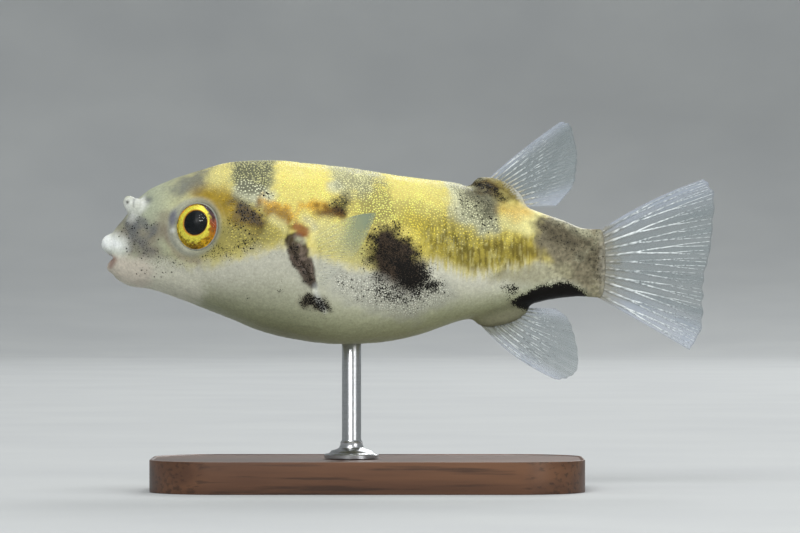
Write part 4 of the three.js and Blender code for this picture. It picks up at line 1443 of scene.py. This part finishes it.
class Look:
    """A node material, built up by short calls."""

    def __init__(self, name, **sockets):
        self.material = bpy.data.materials.new(name)
        self.material.use_nodes = True
        self.tree = self.material.node_tree
        self.shader = self.tree.nodes["Principled BSDF"]
        for socket, value in sockets.items():
            self.shader.inputs[socket.replace("_", " ")].default_value = value

    def node(self, kind, inputs=(), **settings):
        made = self.tree.nodes.new(kind)
        for name, value in settings.items():
            setattr(made, name, value)
        for name, value in dict(inputs).items():
            self.give(made.inputs[name], value)
        return made

    def give(self, socket, value):
        """Links a socket, or sets it to a plain value."""
        if isinstance(value, bpy.types.NodeSocket):
            self.tree.links.new(value, socket)
        else:
            socket.default_value = value

    def attribute(self, name, output="Fac"):
        return self.node("ShaderNodeAttribute", attribute_name=name).outputs[output]

    def here(self, stretch=None):
        """The place on the piece, drawn out along each axis by one over the stretch."""
        place = self.node("ShaderNodeTexCoord").outputs["Object"]
        if stretch:
            inputs = {"Vector": place, "Scale": stretch}
            place = self.node("ShaderNodeMapping", inputs).outputs["Vector"]
        return place

    def grain(self, size, detail=2.0, stretch=None, bend=0.0):
        """Noise about size millimetres across, 0 to 1."""
        inputs = {
            "Vector": self.here(stretch), "Scale": 1 / (size * MM), "Detail": detail,
            "Distortion": bend,
        }
        return self.node("ShaderNodeTexNoise", inputs).outputs["Fac"]

    def cells(self, size, output="Distance"):
        """Cells about size millimetres across: how far off their middles are, or their colours."""
        inputs = {"Vector": self.here(), "Scale": 1 / (size * MM)}
        return self.node("ShaderNodeTexVoronoi", inputs, feature="F1").outputs[output]

    def ramp(self, value, stops):
        """A value turned into colours at [position, seen colour] stops."""
        made = self.node("ShaderNodeValToRGB", {"Fac": value})
        elements = made.color_ramp.elements
        while len(elements) < len(stops):
            elements.new(0.5)
        for element, (position, colour) in zip(elements, stops):
            element.position = position
            element.color = rgba(colour)
        return made.outputs["Color"]

    def spread(self, value, low, high, to_low=0.0, to_high=1.0):
        """A value between low and high, as one between two others."""
        inputs = {
            "Value": value, "From Min": low, "From Max": high, "To Min": to_low, "To Max": to_high,
        }
        return self.node("ShaderNodeMapRange", inputs).outputs["Result"]

    def sums(self, operation, one, two):
        return self.node("ShaderNodeMath", {0: one, 1: two}, operation=operation).outputs["Value"]

    def mix(self, amount, one, two, blend="MIX"):
        made = self.node("ShaderNodeMix", data_type="RGBA", blend_type=blend)
        sockets = {socket.identifier: socket for socket in made.inputs}
        for name, value in (("Factor_Float", amount), ("A_Color", one), ("B_Color", two)):
            self.give(sockets[name], value)
        return next(s for s in made.outputs if s.identifier == "Result_Color")

    def shaded(self, colour, size, darkest, lightest):
        """A colour made lighter and darker by fine noise."""
        value = self.spread(self.grain(size, 3.0), 0.3, 0.7, darkest, lightest)
        grey = {"Red": value, "Green": value, "Blue": value}
        shade = self.node("ShaderNodeCombineColor", grey).outputs["Color"]
        return self.mix(1.0, colour, shade, "MULTIPLY")

    def use(self, socket, value):
        self.tree.links.new(value, self.shader.inputs[socket])

    def bump(self, height, distance, strength=1.0):
        inputs = {"Height": height, "Distance": distance * MM, "Strength": strength}
        self.use("Normal", self.node("ShaderNodeBump", inputs).outputs["Normal"])


def rgba(colour):
    return (*linear(colour), 1)


def skin_look(name, bump):
    """Moist skin: kept colours, broken up by fine grains and dots of black pigment."""
    look = Look(
        name, Roughness=0.46, Subsurface_Weight=0.06, Subsurface_Scale=0.5 * MM,
        Subsurface_Radius=(1.0, 0.85, 0.65), Specular_IOR_Level=0.11, Coat_Weight=0.04,
        Coat_Roughness=0.25,
    )
    base = look.shaded(look.attribute("pigment", "Color"), 0.24, 0.88, 1.1)
    speck = look.grain(0.14, 1.0)
    reach = look.spread(look.attribute("grain"), 0.0, 1.0, 0.22, 0.86)
    black = look.spread(look.sums("SUBTRACT", reach, speck), -0.06, 0.08)
    if bump:
        chance = look.sums("SUBTRACT", look.attribute("dots"), look.cells(DOT_CELLS, "Color"))
        near = look.sums("SUBTRACT", DOT_REACH, look.cells(DOT_CELLS))
        dot = look.spread(near, 0.0, 0.1, 0.0, 0.85)
        dot = look.sums("MULTIPLY", look.spread(chance, 0.0, 0.1), dot)
        black = look.sums("MAXIMUM", black, dot)
        pebbles = look.sums("ADD", look.cells(PRICKLE_SPACING), look.grain(0.12, 2.0))
        look.bump(pebbles, 0.03, bump)
    else:
        look.bump(look.grain(0.1, 2.0), 0.01, 0.5)
    look.use("Base Color", look.mix(black, base, rgba(INK)))
    return look.material


def iris_look():
    """The eyeball: black lens, and a gold iris with a little metal in it."""
    look = Look("iris", Roughness=0.35, Specular_IOR_Level=0.2)
    look.use("Base Color", look.shaded(look.attribute("pigment", "Color"), 0.16, 0.75, 1.2))
    look.use("Metallic", look.sums("MULTIPLY", look.attribute("shine"), 0.3))
    look.bump(look.grain(0.18, 3.0), 0.02, 0.4)
    return look.material


def cornea_look():
    """Clear and very smooth, with a trace of dark tint."""
    tint = (0.02, 0.025, 0.03, 1)
    look = Look("cornea", Roughness=0.02, Alpha=0.08, Specular_IOR_Level=0.3, Base_Color=tint)
    return look.material


def fin_look(name, specular, grain, depth, strength):
    """Clear fin skin or its pale rays: kept colours, shown as strongly as the veil says."""
    look = Look(name, Roughness=0.3, Specular_IOR_Level=specular)
    look.use("Base Color", look.attribute("pigment", "Color"))
    look.use("Alpha", look.attribute("veil"))
    look.bump(look.grain(grain, 2.0), depth, strength)
    return look.material


def walnut_look():
    """Varnished dark walnut with long straight grain and pores."""
    look = Look(
        "walnut", Roughness=0.5, Specular_IOR_Level=0.3, Coat_Weight=0.2, Coat_Roughness=0.3,
    )
    broad = look.grain(WALNUT_BAND, 4.0, stretch=WALNUT_GRAIN, bend=0.6)
    tone = look.ramp(broad, [(0.3, WALNUT_DARK), (0.5, WALNUT), (0.7, WALNUT_LIGHT)])
    threads = look.grain(WALNUT_THREAD, 3.0, stretch=WALNUT_GRAIN)
    pores = look.spread(threads, 0.52, 0.66)
    look.use("Base Color", look.mix(look.sums("MULTIPLY", pores, 0.6), tone, rgba(WALNUT_PORE)))
    look.bump(look.sums("SUBTRACT", 1.0, pores), 0.012, 0.4)
    return look.material


def steel_look():
    """Turned satin steel with fine rings."""
    look = Look("satin_steel", Roughness=0.26, Metallic=1.0)
    rings = look.grain(0.09, 2.0, stretch=(0.04, 0.04, 1.0))
    look.use("Base Color", look.mix(rings, rgba(STEEL_DARK), rgba(STEEL_LIGHT)))
    look.bump(rings, 0.01, 0.35)
    return look.material


def paper_look():
    """The studio's pale floor."""
    look = Look("studio_paper", Roughness=0.8)
    tint = look.spread(look.grain(40.0, 2.0), 0.3, 0.7)
    look.use("Base Color", look.mix(tint, rgba(PAPER_DARK), rgba(PAPER_LIGHT)))
    return look.material


# ---- The studio ----

CAMERA_LENS = 250
CAMERA_SENSOR = 36
CAMERA_X, CAMERA_Z = -0.94, 27.94
VIEW_WIDTH = 100  # what the frame takes in at the fish
AIR = (0.80, 0.83, 0.84, 1)
AIR_STRENGTH = 0.32

# In metres: way along the backdrop, radius and height there. It ends open at the top.
BACKDROP = [
    [0, 0, 0], [1.1, 1.1, 0], [1.3, 1.29, 0.03], [1.45, 1.41, 0.1], [1.55, 1.48, 0.19],
    [1.6, 1.5, 0.26], [4.0, 1.5, 2.5],
]
BACKDROP_TOP = 1.3

# Name, place, aim, size in metres, and power.
LIGHTS = [
    ("key_light", (-0.25, -0.92, 0.7), (0, 0, 0.03), 0.55, 9.5),
    ("top_light", (0.05, 0.0, 1.3), (0, 0, 0.0), 1.2, 9.0),
    ("fill_light", (0.8, -0.9, 0.3), (0, 0, 0.03), 0.6, 2.8),
    ("back_light", (0.3, 0.95, 0.65), (0, 0, 0.03), 0.6, 5.5),
]


def make_camera():
    data = bpy.data.cameras.new("camera")
    data.lens = CAMERA_LENS
    data.sensor_width = CAMERA_SENSOR
    data.clip_start = 0.01
    distance = VIEW_WIDTH * CAMERA_LENS / CAMERA_SENSOR
    camera = bpy.data.objects.new("camera", data)
    bpy.context.scene.collection.objects.link(camera)
    camera.location = (CAMERA_X * MM, -distance * MM, CAMERA_Z * MM)
    camera.rotation_euler = (math.pi / 2, 0, 0)
    bpy.context.scene.camera = camera


def make_backdrop():
    """A pale floor that sweeps up into a round wall, well beyond the object and open above."""
    floor = ball("studio_floor", sides=96, rings=64)
    a, b, c = places(floor).T
    polar = np.arccos(np.clip(c, -1, 1)) / math.pi
    way, radii, heights = np.array(BACKDROP).T
    along = (1 - polar) * way[-1]
    radius = np.where(along > way[-1] - 0.01, 0, np.interp(along, way, radii))
    height = np.interp(along, way, heights)
    reach = np.maximum(np.hypot(a, b), 1e-9)
    move_to(floor, np.stack([a / reach * radius, b / reach * radius, height], 1))
    select_faces(floor, lambda face: face.center.z > BACKDROP_TOP)
    bpy.ops.object.mode_set(mode="EDIT")
    bpy.ops.mesh.delete(type="FACE")
    bpy.ops.mesh.select_all(action="SELECT")
    bpy.ops.mesh.flip_normals()
    bpy.ops.object.mode_set(mode="OBJECT")
    smooth_shading(floor)
    wear(floor, paper_look())


def soft_light(name, place, aim, size, power):
    data = bpy.data.lights.new(name, "AREA")
    data.shape = "DISK"
    data.size = size
    data.energy = power
    light = bpy.data.objects.new(name, data)
    bpy.context.scene.collection.objects.link(light)
    light.location = place
    light.rotation_euler = (Vector(aim) - Vector(place)).to_track_quat("-Z", "Y").to_euler()


def make_studio():
    air = bpy.data.worlds.new("studio")
    bpy.context.scene.world = air
    air.use_nodes = True
    glow = air.node_tree.nodes["Background"]
    glow.inputs["Color"].default_value = AIR
    glow.inputs["Strength"].default_value = AIR_STRENGTH
    for light in LIGHTS:
        soft_light(*light)
    bpy.context.scene.view_settings.view_transform = "Standard"


# ---- Putting it together ----


def dress_fish():
    skin = make_skin()
    wear(skin, skin_look("skin", 0.5))
    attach(skin, "root")
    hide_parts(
        "head", "lower_jaw", "upper_lip", "lower_lip", "trunk", "tail_stalk", "dorsal_lobe",
        "anal_lobe", "nostril_left", "nostril_right",
    )

    prickle_skin = skin_look("prickle_skin", 0)
    for coat in make_prickles(skin):
        wear(coat, prickle_skin)
        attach(coat, "root")


def dress_eyes():
    iris, clear = iris_look(), cornea_look()
    for name, side in SIDES.items():
        eyeball = make_eyeball(f"eyeball_{name}", side)
        wear(eyeball, iris)
        cornea = make_cornea(f"cornea_{name}", side)
        wear(cornea, clear)
        for piece in (eyeball, cornea):
            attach(piece, "root")
        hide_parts(f"eye_{name}")


def dress_fins():
    add_pectoral_fins()
    web_skin = fin_look("fin_web", 0.3, 0.25, 0.01, 0.3)
    ray_skin = fin_look("fin_ray", 0.5, 0.15, 0.02, 0.5)
    for name, fin in FINS.items():
        fin["root_path"] = smooth_path(fin["root"])
        fin["tip_path"] = smooth_path(fin["tip"])
        web = fin_web(f"{name}_web", fin)
        wear(web, web_skin)
        rays = fin_rays(f"{name}_rays", fin)
        wear(rays, ray_skin)
        for piece in (web, rays):
            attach(piece, "root")
        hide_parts(name)


def dress_stand():
    base = make_base()
    wear(base, walnut_look())
    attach(base, "root")
    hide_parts("stand_base")
    rod = make_rod()
    wear(rod, steel_look())
    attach(rod, "root")
    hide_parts("stand_rod")


make_camera()
make_studio()
make_backdrop()
dress_fish()
dress_eyes()
dress_fins()
dress_stand()
